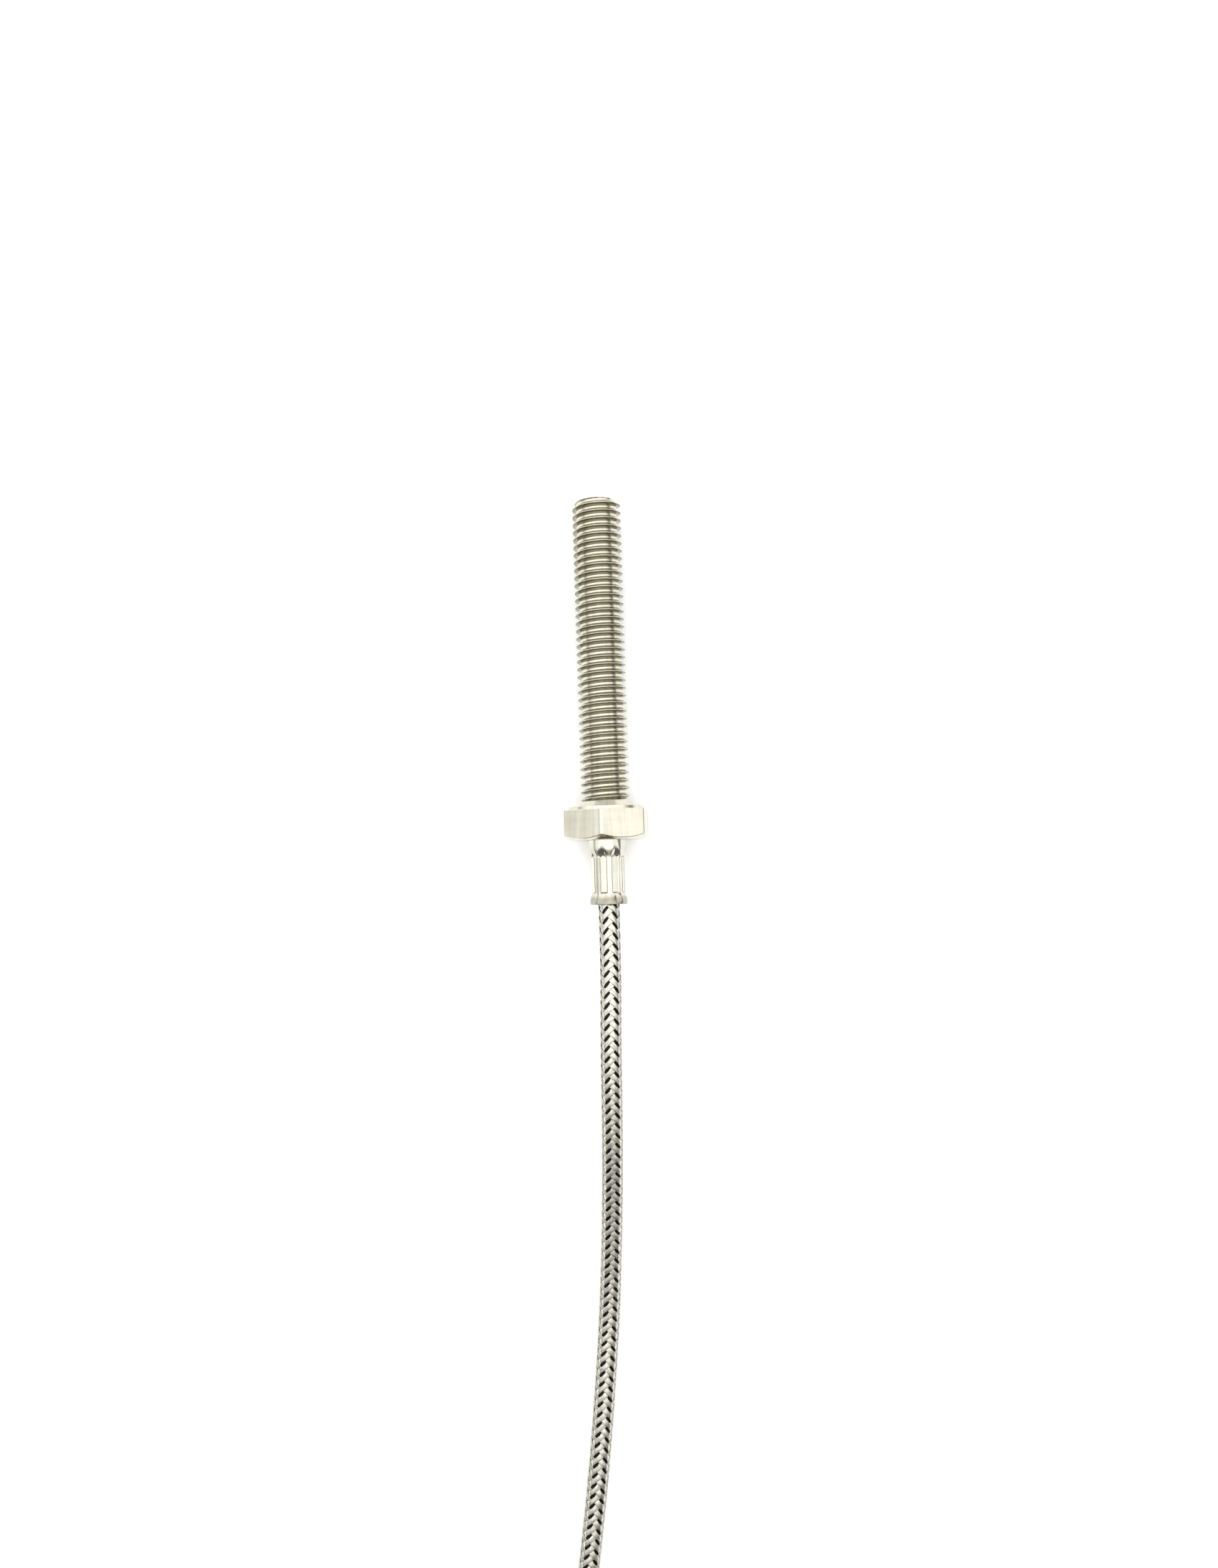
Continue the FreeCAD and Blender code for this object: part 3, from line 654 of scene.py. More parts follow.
def strap_line():
    """The strap's outer line in x and z, with its outward directions, once round the hank."""
    centres = [
        (TIE_HALF_X - TIE_CORNER_R, TIE_HIGH - TIE_CORNER_R, 90),
        (-TIE_HALF_X + TIE_CORNER_R, TIE_HIGH - TIE_CORNER_R, 180),
        (-TIE_HALF_X + TIE_CORNER_R, TIE_LOW + TIE_CORNER_R, 270),
        (TIE_HALF_X - TIE_CORNER_R, TIE_LOW + TIE_CORNER_R, 360),
    ]
    line = []
    for cx, cz, until in centres:
        for k in range(9):
            a = math.radians(until - 90 + k * 90 / 8)
            out = Vector((math.cos(a), 0.0, math.sin(a)))
            line.append((Vector((cx, TIE_Y, cz)) + out * TIE_CORNER_R, out))
    fine = []
    for (a, out_a), (b, out_b) in zip(line, line[1:] + line[:1]):
        steps = max(1, round((b - a).length / (TOOTH_PITCH / 2)))
        for k in range(steps):
            fine.append((a.lerp(b, k / steps), out_a.lerp(out_b, k / steps).normalized()))
    return fine


points, faces = [], []
strap = strap_line()
half = TIE_WIDTH / 2
for number, (at, out) in enumerate(strap):
    tooth = TOOTH_H * (number % 2)
    section = [
        (half - 0.25, 0.0), (half, -0.25), (half, -TIE_T + 0.3), (half - 0.3, -TIE_T),
        (-half + 0.3, -TIE_T), (-half, -TIE_T + 0.3), (-half, -0.25), (-half + 0.25, 0.0),
        (-half + 0.9, 0.0), (-half + 0.95, -tooth), (half - 0.95, -tooth), (half - 0.9, 0.0),
    ]
    for y, deep in section:
        points.append((at + out * deep + Vector((0.0, y, 0.0))) * MM)
sides = len(section)
for k in range(len(strap)):
    n = (k + 1) % len(strap)
    for j in range(sides):
        m = (j + 1) % sides
        faces.append([k * sides + j, k * sides + m, n * sides + m, n * sides + j])
tie_strap = mesh_object("hank_tie_strap", points, faces, nylon)
smooth_but_sharp(tie_strap, 35.0)


def eased_box(name, low, high, ease, material, segments=3):
    """A box between two corners in millimetres with rounded edges."""
    shape = bmesh.new()
    bmesh.ops.create_cube(shape, size=1.0)
    for v in shape.verts:
        v.co = Vector([low[i] + (v.co[i] + 0.5) * (high[i] - low[i]) for i in range(3)]) * MM
    bmesh.ops.bevel(
        shape, geom=shape.edges[:], offset=ease * MM, segments=segments, profile=0.6, affect="EDGES"
    )
    mesh = bpy.data.meshes.new(name)
    shape.to_mesh(mesh)
    shape.free()
    mesh.materials.append(material)
    made = bpy.data.objects.new(name, mesh)
    bpy.context.scene.collection.objects.link(made)
    smooth_but_sharp(made, 50.0)
    return made


def as_one(name, parts):
    """The parts' meshes in one object."""
    shape = bmesh.new()
    for part in parts:
        shape.from_mesh(part.data)
    mesh = bpy.data.meshes.new(name)
    shape.to_mesh(mesh)
    shape.free()
    mesh.materials.append(parts[0].data.materials[0])
    for part in parts:
        bpy.data.objects.remove(part)
    made = bpy.data.objects.new(name, mesh)
    bpy.context.scene.collection.objects.link(made)
    return made


head_block = eased_box("tie_head", TIE_HEAD_FROM, TIE_HEAD_TO, 0.7, nylon)
rim = eased_box(
    "tie_head_rim",
    TIE_HEAD_FROM + Vector((1.2, 1.0, 3.9)),
    TIE_HEAD_TO + Vector((-1.6, -1.0, -0.35)),
    0.2,
    nylon,
)
lever = eased_box(
    "tie_release",
    (TIE_HEAD_FROM.x - 0.55, TIE_Y - 1.4, TIE_HEAD_TO.z - 1.3),
    (TIE_HEAD_FROM.x + 0.9, TIE_Y + 1.4, TIE_HEAD_TO.z - 0.45),
    0.25,
    nylon,
)
free_points, free_faces = [], []
steps = round((FREE_END_TO - FREE_END_FROM) / (TOOTH_PITCH / 2))
half = (TIE_WIDTH - 0.6) / 2
for k in range(steps + 1):
    x = FREE_END_FROM + (FREE_END_TO - FREE_END_FROM) * k / steps
    narrow = half * (1.0 - 0.45 * smooth(x, FREE_END_TO - 3.0, FREE_END_TO))
    thin = 0.55 * (1.0 - 0.35 * smooth(x, FREE_END_TO - 3.0, FREE_END_TO))
    tooth = TOOTH_H * (k % 2) if x < FREE_END_TO - 2.0 else 0.0
    section = [
        (narrow - 0.15, thin), (narrow, thin - 0.2), (narrow, -thin + 0.2), (narrow - 0.15, -thin),
        (narrow * 0.6, -thin), (narrow * 0.58, -thin + tooth), (-narrow * 0.58, -thin + tooth),
        (-narrow * 0.6, -thin), (-narrow + 0.15, -thin), (-narrow, -thin + 0.2), (-narrow, thin - 0.2),
        (-narrow + 0.15, thin),
    ]
    for y, z in section:
        free_points.append(Vector((x, TIE_Y + y, FREE_END_Z + z)) * MM)
sides = len(section)
for k in range(steps):
    for j in range(sides):
        m = (j + 1) % sides
        free_faces.append([k * sides + j, k * sides + m, (k + 1) * sides + m, (k + 1) * sides + j])
free_faces.append(list(range(sides)))
free_faces.append(list(range(steps * sides, (steps + 1) * sides)))
free_end = mesh_object("tie_free_end", free_points, free_faces, nylon)
hank_tie = as_one("hank_tie_moulding", [tie_strap, head_block, rim, lever, free_end])
smooth_but_sharp(hank_tie, 35.0)
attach(hank_tie, "lead")
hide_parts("hank_tie")


# ---- End sleeve: steel sleeve where the braid stops and the two tails come out ----
# A short plain steel tube pushed over the cut braid, with the two tails coming out of its end.
# Two rows of crimp marks hold it on the braid and on the tails.
SLEEVE_R, SLEEVE_LENGTH, SLEEVE_COLUMNS = 2.25, 11.0, 96
SLEEVE_PLUG_AT, SLEEVE_BORE_R, CRIMP_DEPTH = 6.0, 1.80, 0.34
CRIMPS_ROUND = 6
TAIL_D, TAIL_SPACING = 1.3, 0.72

sleeve_steel, tree, shader = new_material("end_sleeve_steel")
where = tree.nodes.new("ShaderNodeTexCoord").outputs["Object"]
mottle = joined(tree, "ShaderNodeTexNoise", Vector=where, Scale=1800.0, Detail=5.0)
shade = joined(tree, "ShaderNodeValToRGB", Fac=mottle.outputs["Fac"])
shade.color_ramp.elements[0].color = (0.55, 0.53, 0.46, 1.0)
shade.color_ramp.elements[1].color = (0.72, 0.70, 0.62, 1.0)
lift = joined(tree, "ShaderNodeBump", Height=mottle.outputs["Fac"], Strength=0.4, Distance=0.00003)
tree.links.new(shade.outputs["Color"], shader.inputs["Base Color"])
tree.links.new(lift.outputs["Normal"], shader.inputs["Normal"])
shader.inputs["Metallic"].default_value = 1.0
shader.inputs["Roughness"].default_value = 0.3

sleeve_side = Vector((sleeve_way.y, -sleeve_way.x, 0.0))
sleeve_frame = Matrix.Translation(SLEEVE_AT) @ Matrix(
    (
        (sleeve_side.x, sleeve_way.x, 0.0, 0.0),
        (sleeve_side.y, sleeve_way.y, 0.0, 0.0),
        (0.0, 0.0, 1.0, 0.0),
        (0.0, 0.0, 0.0, 1.0),
    )
)


def crimp_radius(along):
    """The crimped sleeve's radius function: two rows of six shallow crimp marks."""
    band = max(
        smooth(along, 1.6, 1.9) * (1 - smooth(along, 3.4, 3.7)),
        smooth(along, 6.8, 7.1) * (1 - smooth(along, 8.6, 8.9)),
    )
    return lambda turn: SLEEVE_R - CRIMP_DEPTH * band * (
        0.5 + 0.5 * math.cos(math.radians(turn * CRIMPS_ROUND))
    ) ** 1.5


rings = [(SLEEVE_PLUG_AT, 0), (SLEEVE_PLUG_AT, SLEEVE_BORE_R), (0.0, SLEEVE_BORE_R)]
rings += [(0.0, SLEEVE_R - 0.12), (0.12, SLEEVE_R)]
rings += [(0.3 + 0.2 * k, crimp_radius(0.3 + 0.2 * k)) for k in range(52)]
rings += [(10.85, SLEEVE_R), (10.95, SLEEVE_R - 0.1)]
rings += [(SLEEVE_LENGTH, SLEEVE_R - 0.25), (SLEEVE_LENGTH, 1.72)]
rings += [(10.6, 1.66), (9.8, 1.64), (9.8, 0)]
end_sleeve = ring_stack("end_sleeve_crimped", rings, even_turns(SLEEVE_COLUMNS), sleeve_steel, sleeve_frame)
smooth_but_sharp(end_sleeve, 40.0)
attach(end_sleeve, "lead")
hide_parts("end_sleeve")


# ---- Tails: the two conductors with woven glass-fibre covers ----
# White glass-fibre sleeving with a coloured tracer thread, red for positive and blue for negative.
# Each comes out of the end sleeve and ends in the barrel of its fork.
FORK_Z = 4.937
FORK_AT = {"positive": (-1.6, -152.0), "negative": (6.6, -153.5)}
TAIL_TOP = {"positive": Vector((4.0, -170.6, 2.117)), "negative": Vector((5.7, -170.9, 2.067))}
TAIL_INSIDE_AT, TAIL_STRAIGHT = 6.6, 6.5
TRACER_TURNS, TRACER_SHARE = 12.0, 0.13
TAIL_RUN_IN = {"positive": 8.8, "negative": 8.6}
TRACER = {"positive": (0.45, 0.02, 0.015, 1.0), "negative": (0.02, 0.06, 0.35, 1.0)}


def glass_cover(name, tracer):
    """Woven white glass fibre with a coloured thread wound through it, laid out along the tail."""
    made, tree, shader = new_material(name)
    spot = tree.nodes.new("ShaderNodeTexCoord").outputs["UV"]
    parts = joined(tree, "ShaderNodeSeparateXYZ", Vector=spot)
    turns = value_step(tree, "MULTIPLY", parts.outputs["X"], TRACER_TURNS)
    winding = value_step(tree, "ADD", turns, parts.outputs["Y"])
    thread = value_step(tree, "LESS_THAN", value_step(tree, "FRACT", winding), TRACER_SHARE)
    rows = value_step(tree, "MULTIPLY", turns, 5.0)
    around = value_step(tree, "MULTIPLY", parts.outputs["Y"], 8.0)
    waves = []
    for lean in ("ADD", "SUBTRACT"):
        wave = value_step(tree, "MULTIPLY", value_step(tree, lean, rows, around), math.pi)
        waves.append(value_step(tree, "ABSOLUTE", value_step(tree, "SINE", wave)))
    weave = value_step(tree, "MULTIPLY", *waves)
    white = joined(tree, "ShaderNodeValToRGB", Fac=weave)
    white.color_ramp.elements[0].color = (0.42, 0.40, 0.33, 1.0)
    white.color_ramp.elements[1].color = (0.82, 0.80, 0.70, 1.0)
    mixed = tree.nodes.new("ShaderNodeMix")
    mixed.data_type = "RGBA"
    tree.links.new(thread, mixed.inputs["Factor"])
    sides = [socket for socket in mixed.inputs if socket.enabled and socket.name in "AB"]
    tree.links.new(white.outputs["Color"], sides[0])
    sides[1].default_value = tracer
    colour = [socket for socket in mixed.outputs if socket.enabled][0]
    tree.links.new(colour, shader.inputs["Base Color"])
    lift = joined(tree, "ShaderNodeBump", Height=weave, Strength=0.6, Distance=0.00005)
    tree.links.new(lift.outputs["Normal"], shader.inputs["Normal"])
    shader.inputs["Roughness"].default_value = 0.62
    shader.inputs["Sheen Weight"].default_value = 0.2
    return made


for pole, side in (("positive", -1.0), ("negative", 1.0)):
    start = SLEEVE_AT + sleeve_way * TAIL_INSIDE_AT + sleeve_side * TAIL_SPACING * side
    fx, fy = FORK_AT[pole]
    tail_route = [
        start,
        start + sleeve_way * TAIL_STRAIGHT,
        TAIL_TOP[pole],
        Vector((fx, fy - TAIL_RUN_IN[pole], FORK_Z)),
        Vector((fx, fy, FORK_Z)),
    ]
    tail = nurbs_cord(
        "tail_cover_" + pole,
        tail_route,
        TAIL_D / 2,
        glass_cover("glass_cover_" + pole, TRACER[pole]),
        steps=14,
    )
    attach(tail, "lead")
    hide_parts("tail_" + pole)


# ---- Fork terminals and their collars ----
# Stamped from tinned copper sheet: a rolled barrel crimped on the tail and a flat forked tongue.
# A soft collar covers each barrel, red on the positive tail and blue on the negative.
BARREL_R, BARREL_L, TONGUE_FROM, TONGUE_L, TONGUE_W, TONGUE_T = 1.25, 5.0, 4.6, 13.2, 6.4, 0.8
SLOT_W, SLOT_DEEP = 3.3, 7.6
COLLAR_OUT, COLLAR_FROM, COLLAR_TO = 1.80, -4.1, 4.4
SHOULDER_R, BARREL_COLUMNS, COLLAR_COLUMNS = 1.85, 48, 64

tin, tree, shader = new_material("tinned_copper")
where = tree.nodes.new("ShaderNodeTexCoord").outputs["Object"]
smear = joined(tree, "ShaderNodeMapping", Vector=where, Scale=(1400.0, 260.0, 1400.0))
grain = joined(tree, "ShaderNodeTexNoise", Vector=smear.outputs["Vector"], Scale=1.0, Detail=4.0)
shade = joined(tree, "ShaderNodeValToRGB", Fac=grain.outputs["Fac"])
shade.color_ramp.elements[0].color = (0.60, 0.58, 0.53, 1.0)
shade.color_ramp.elements[1].color = (0.80, 0.79, 0.75, 1.0)
rough = joined(tree, "ShaderNodeMapRange", Value=grain.outputs["Fac"])
rough.inputs["To Min"].default_value = 0.18
rough.inputs["To Max"].default_value = 0.38
lift = joined(tree, "ShaderNodeBump", Height=grain.outputs["Fac"], Strength=0.3, Distance=0.00001)
tree.links.new(shade.outputs["Color"], shader.inputs["Base Color"])
tree.links.new(rough.outputs["Result"], shader.inputs["Roughness"])
tree.links.new(lift.outputs["Normal"], shader.inputs["Normal"])
shader.inputs["Metallic"].default_value = 1.0


def soft_vinyl(name, low, high):
    """Soft moulded vinyl in two tones with a fine orange-peel skin."""
    made, tree, shader = new_material(name)
    where = tree.nodes.new("ShaderNodeTexCoord").outputs["Object"]
    peel = joined(tree, "ShaderNodeTexNoise", Vector=where, Scale=1600.0, Detail=3.0)
    shade = joined(tree, "ShaderNodeValToRGB", Fac=peel.outputs["Fac"])
    shade.color_ramp.elements[0].color = low
    shade.color_ramp.elements[1].color = high
    lift = joined(tree, "ShaderNodeBump", Height=peel.outputs["Fac"], Strength=0.35, Distance=0.00003)
    tree.links.new(shade.outputs["Color"], shader.inputs["Base Color"])
    tree.links.new(lift.outputs["Normal"], shader.inputs["Normal"])
    shader.inputs["Roughness"].default_value = 0.36
    shader.inputs["Coat Weight"].default_value = 0.15
    return made


collar_paint = {
    "positive": soft_vinyl("collar_red", (0.36, 0.010, 0.012, 1.0), (0.52, 0.022, 0.020, 1.0)),
    "negative": soft_vinyl("collar_blue", (0.010, 0.045, 0.26, 1.0), (0.018, 0.075, 0.38, 1.0)),
}


def tongue_outline():
    """The forked tongue's outline: a shoulder, two rounded prongs and a round-ended slot."""
    w, s = TONGUE_W / 2, SLOT_W / 2
    end, root = TONGUE_FROM + TONGUE_L, TONGUE_FROM
    line = [(1.15, root), (1.35, root + 0.5)]
    shoulder = [math.radians(a) for a in range(20, 91, 14)]
    rise = root + 2.9
    line += [
        (w - SHOULDER_R + SHOULDER_R * math.sin(a), rise - SHOULDER_R * math.cos(a)) for a in shoulder
    ]
    prong = (w - s) / 2
    middle = (w + s) / 2
    prong_end = [math.radians(a) for a in range(0, 181, 20)]
    line += [(middle + prong * math.cos(a), end - prong + prong * math.sin(a)) for a in prong_end]
    slot_end = end - SLOT_DEEP + s
    slot_root = [math.radians(a) for a in range(0, 91, 15)]
    line += [(s * math.cos(a), slot_end - s * math.sin(a)) for a in slot_root]
    return line + [(-x, y) for x, y in reversed(line[:-1])]


for pole, (fx, fy) in FORK_AT.items():
    here = Matrix.Translation(Vector((fx, fy, FORK_Z)))
    outline_points = tongue_outline()
    shape = bmesh.new()
    lower = [shape.verts.new(here @ Vector((x, y, -TONGUE_T / 2)) * MM) for x, y in outline_points]
    face = shape.faces.new(lower)
    grown_up = bmesh.ops.extrude_face_region(shape, geom=[face])
    for item in grown_up["geom"]:
        if isinstance(item, bmesh.types.BMVert):
            item.co.z += TONGUE_T * MM
    bmesh.ops.recalc_face_normals(shape, faces=shape.faces)
    rims = [
        edge
        for edge in shape.edges
        if edge.is_manifold
        and edge.calc_face_angle() > 1.2
        and abs(edge.verts[0].co.z - edge.verts[1].co.z) < 1e-9
    ]
    bmesh.ops.bevel(shape, geom=rims, offset=0.09 * MM, segments=2, profile=0.5, affect="EDGES")
    mesh = bpy.data.meshes.new("tongue")
    shape.to_mesh(mesh)
    shape.free()
    mesh.materials.append(tin)
    tongue = bpy.data.objects.new("tongue", mesh)
    bpy.context.scene.collection.objects.link(tongue)
    rings = [(0.0, TAIL_D / 2 + 0.03), (0.0, BARREL_R - 0.08), (0.08, BARREL_R), (BARREL_L - 0.1, BARREL_R)]
    rings += [(BARREL_L, BARREL_R - 0.1), (BARREL_L, TAIL_D / 2 + 0.03)]
    barrel = ring_stack("barrel", rings, even_turns(BARREL_COLUMNS), tin, here, closed_ring=True)
    fork = as_one("fork_" + pole + "_stamped", [tongue, barrel])
    smooth_but_sharp(fork, 40.0)
    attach(fork, "lead")
    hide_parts("fork_" + pole)
    rings = [(COLLAR_FROM, TAIL_D / 2 + 0.03), (COLLAR_FROM, 1.32), (COLLAR_FROM + 0.1, 1.42)]
    rings += [(-3.75, 1.72), (-3.55, 1.79), (-3.3, COLLAR_OUT), (-2.2, COLLAR_OUT)]
    rings += [(-2.05, 1.74), (-1.9, 1.74), (-1.75, COLLAR_OUT)]
    rings += [(1.2, COLLAR_OUT), (1.5, 1.68), (2.6, 1.68), (2.9, COLLAR_OUT)]
    rings += [(COLLAR_TO - 0.2, COLLAR_OUT), (COLLAR_TO - 0.05, 1.74), (COLLAR_TO, 1.62), (COLLAR_TO, 1.34)]
    rings += [(COLLAR_TO - 0.15, BARREL_R + 0.02), (-0.05, BARREL_R + 0.02), (-0.05, TAIL_D / 2 + 0.03)]
    collar = ring_stack(
        "collar_" + pole + "_moulded",
        rings,
        even_turns(COLLAR_COLUMNS),
        collar_paint[pole],
        here,
        closed_ring=True,
    )
    smooth_but_sharp(collar, 50.0)
    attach(collar, "lead")
    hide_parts("collar_" + pole)


# ---- Probe: sheath, wires, hot junction and fillings inside the bolt ----
# A closed steel sheath holds two alloy wires in a ceramic rod, welded in a bead at the tip.
# These are turned and cast parts that the assembled bolt hides, and they stay as the part has them.
def inner_finish(name, low, high, metallic, roughness, scale):
    """A two-toned speckled finish for a part inside the probe."""
    made, tree, shader = new_material(name)
    where = tree.nodes.new("ShaderNodeTexCoord").outputs["Object"]
    speck = joined(tree, "ShaderNodeTexNoise", Vector=where, Scale=scale, Detail=4.0)
    shade = joined(tree, "ShaderNodeValToRGB", Fac=speck.outputs["Fac"])
    shade.color_ramp.elements[0].color = (*low, 1.0)
    shade.color_ramp.elements[1].color = (*high, 1.0)
    rough = joined(tree, "ShaderNodeMapRange", Value=speck.outputs["Fac"])
    rough.inputs["To Min"].default_value = roughness * 0.8
    rough.inputs["To Max"].default_value = roughness * 1.2
    lift = joined(tree, "ShaderNodeBump", Height=speck.outputs["Fac"], Strength=0.3, Distance=0.00002)
    tree.links.new(shade.outputs["Color"], shader.inputs["Base Color"])
    tree.links.new(rough.outputs["Result"], shader.inputs["Roughness"])
    tree.links.new(lift.outputs["Normal"], shader.inputs["Normal"])
    shader.inputs["Metallic"].default_value = metallic
    return made


sheath_steel = inner_finish("sheath_steel", (0.50, 0.49, 0.45), (0.64, 0.63, 0.58), 1.0, 0.25, 900.0)
alumina = inner_finish("alumina", (0.74, 0.72, 0.66), (0.86, 0.84, 0.78), 0.0, 0.55, 1500.0)
wire_alloy = inner_finish("thermo_alloy", (0.34, 0.32, 0.29), (0.48, 0.46, 0.42), 1.0, 0.35, 2500.0)
cement = inner_finish("cement", (0.40, 0.37, 0.32), (0.56, 0.53, 0.47), 0.0, 0.85, 2200.0)
braid_foil = inner_finish("braid_under_crimp", (0.50, 0.48, 0.42), (0.70, 0.68, 0.61), 1.0, 0.35, 3000.0)
fibre = inner_finish("wire_fibre_cover", (0.62, 0.60, 0.50), (0.80, 0.78, 0.68), 0.0, 0.7, 2800.0)
inner_parts = {
    "probe_sheath": (sheath_steel, "sheath_steel"),
    "wire_positive": (wire_alloy, "thermo_alloy"),
    "wire_negative": (wire_alloy, "thermo_alloy"),
    "hot_junction": (wire_alloy, "thermo_alloy"),
    "ceramic_insulator": (alumina, "alumina"),
    "seal_plug": (cement, "cement"),
    "tip_cement": (cement, "cement"),
    "braid_end": (braid_foil, "lead_braid"),
    "support_sleeve": (sheath_steel, "sheath_steel"),
    "insulation_positive": (fibre, "glass_fibre"),
    "insulation_negative": (fibre, "glass_fibre"),
}
for node_name, (finish, slot_name) in inner_parts.items():
    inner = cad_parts[node_name]
    inner.data.materials.clear()
    inner.data.materials.append(finish)


# ---- Ferrule: turned stainless sleeve, crimped on the braid with eight flutes ----
# A domed collar sits in the bolt head, so the bolt turns freely on it.
# Flat-ended jaws press eight flutes into the barrel and leave the mouth flared, with soft folds.
COLLAR_R, CRIMP_R, MOUTH_R = 3.05, 2.62, 3.06
COLLAR_UNTIL, DOME_UNTIL, FLARE_FROM, FERRULE_END = -6.45, -8.45, -13.55, -15.6
FLANGE_FRONT, FLANGE_BACK, FLANGE_R = -2.90, -4.45, 3.60
FLUTE_FROM, FLUTE_UNTIL = -7.95, -13.65
FLUTE_FLOOR_R, FLUTE_HALF_DEG, FLUTE_WALL_DEG = 2.27, 11.5, 3.0
FLUTE_COUNT, FLUTE_TURN_DEG = 8, -17.0
SHEATH_R, FERRULE_BORE_R = 1.50, 1.80
FERRULE_COLUMNS = 192
MOUTH_LIP_AT, SATIN_SHADE_FROM_M, SATIN_SHADE_UNTIL_M = -15.52, -0.0139, -0.0145
VEE_DEPTH, FOLD_OUT, FOLD_IN = 0.44, 0.12, 0.15


def ferrule_radius(along, angle):
    """The ferrule's outer radius at a place along the axis and an angle from its top."""
    step = 360.0 / FLUTE_COUNT
    off_flute = abs((angle - FLUTE_TURN_DEG + step / 2) % step - step / 2)
    off_ridge = step / 2 - off_flute
    if along > COLLAR_UNTIL:
        plain = COLLAR_R
    elif along > DOME_UNTIL:
        share = (COLLAR_UNTIL - along) / (COLLAR_UNTIL - DOME_UNTIL)
        plain = CRIMP_R + (COLLAR_R - CRIMP_R) * (0.5 + 0.5 * math.cos(math.pi * share))
    else:
        plain = CRIMP_R
    # pulled down in a vee above each flute, where the jaw draws the metal in
    vee = smooth(-along, 5.9, -FLUTE_FROM) * (1 - smooth(-along, -FLUTE_FROM, -FLUTE_FROM + 0.3))
    reach = 9.0 + 13.0 * smooth(-along, 6.2, -FLUTE_FROM)
    plain -= VEE_DEPTH * vee * (1 - smooth(off_flute, 0.0, reach))
    if along < FLARE_FROM:
        open_up = smooth(-along, -FLARE_FROM, -FERRULE_END + 0.5)
        fold = FOLD_OUT * (1 - smooth(off_ridge, 1.0, 12.0))
        fold -= FOLD_IN * (1 - smooth(off_flute, 0.0, 13.0))
        plain += (MOUTH_R - CRIMP_R) * open_up + fold * math.sin(math.pi * min(1.0, open_up * 1.15))
    floor = FLUTE_FLOOR_R / math.cos(math.radians(min(off_flute, 20.0)))
    pressed = 1 - smooth(off_flute, FLUTE_HALF_DEG, FLUTE_HALF_DEG + FLUTE_WALL_DEG)
    pressed *= smooth(-along, -FLUTE_FROM - 0.16, -FLUTE_FROM + 0.14)
    pressed *= 1 - smooth(-along, -FLUTE_UNTIL - 0.05, -FLUTE_UNTIL + 0.20)
    return plain + (min(plain, floor) - plain) * pressed


def brushed_steel(name, tint, roughness, grain, depth):
    """Stainless steel with fine grain stretched along and across the axis."""
    made, tree, shader = new_material(name)
    where = tree.nodes.new("ShaderNodeTexCoord").outputs["Object"]
    long_way = joined(tree, "ShaderNodeMapping", Vector=where, Scale=(grain, grain * 0.06, grain))
    cross_scale = (grain * 0.08, grain * 0.7, grain * 0.08)
    cross_way = joined(tree, "ShaderNodeMapping", Vector=where, Scale=cross_scale)
    first = joined(tree, "ShaderNodeTexNoise", Vector=long_way.outputs["Vector"], Scale=1.0, Detail=4.0)
    second = joined(tree, "ShaderNodeTexNoise", Vector=cross_way.outputs["Vector"], Scale=1.0, Detail=3.0)
    soft = joined(tree, "ShaderNodeTexNoise", Vector=where, Scale=grain * 0.05, Detail=3.0)
    both = value_step(tree, "MULTIPLY", second.outputs["Fac"], 0.45)
    both = value_step(tree, "ADD", both, first.outputs["Fac"])
    cloud = value_step(tree, "MULTIPLY", soft.outputs["Fac"], 0.55)
    both = value_step(tree, "ADD", both, cloud)
    shade = joined(tree, "ShaderNodeMapRange", Value=both)
    shade.inputs["From Min"].default_value = 0.7
    shade.inputs["From Max"].default_value = 1.3
    colour = joined(tree, "ShaderNodeValToRGB", Fac=shade.outputs["Result"])
    colour.color_ramp.elements[0].color = (*[c * 0.78 for c in tint], 1.0)
    colour.color_ramp.elements[1].color = (*[min(1.0, c * 1.07) for c in tint], 1.0)
    rough = joined(tree, "ShaderNodeMapRange", Value=shade.outputs["Result"])
    rough.inputs["To Min"].default_value = roughness * 0.75
    rough.inputs["To Max"].default_value = roughness * 1.3
    lift = joined(tree, "ShaderNodeBump", Height=shade.outputs["Result"], Strength=0.35, Distance=depth)
    tree.links.new(colour.outputs["Color"], shader.inputs["Base Color"])
    tree.links.new(rough.outputs["Result"], shader.inputs["Roughness"])
    tree.links.new(lift.outputs["Normal"], shader.inputs["Normal"])
    shader.inputs["Metallic"].default_value = 1.0
    return made


ferrule_steel = brushed_steel("ferrule_steel", (0.62, 0.605, 0.53), 0.12, 2600.0, 0.000004)
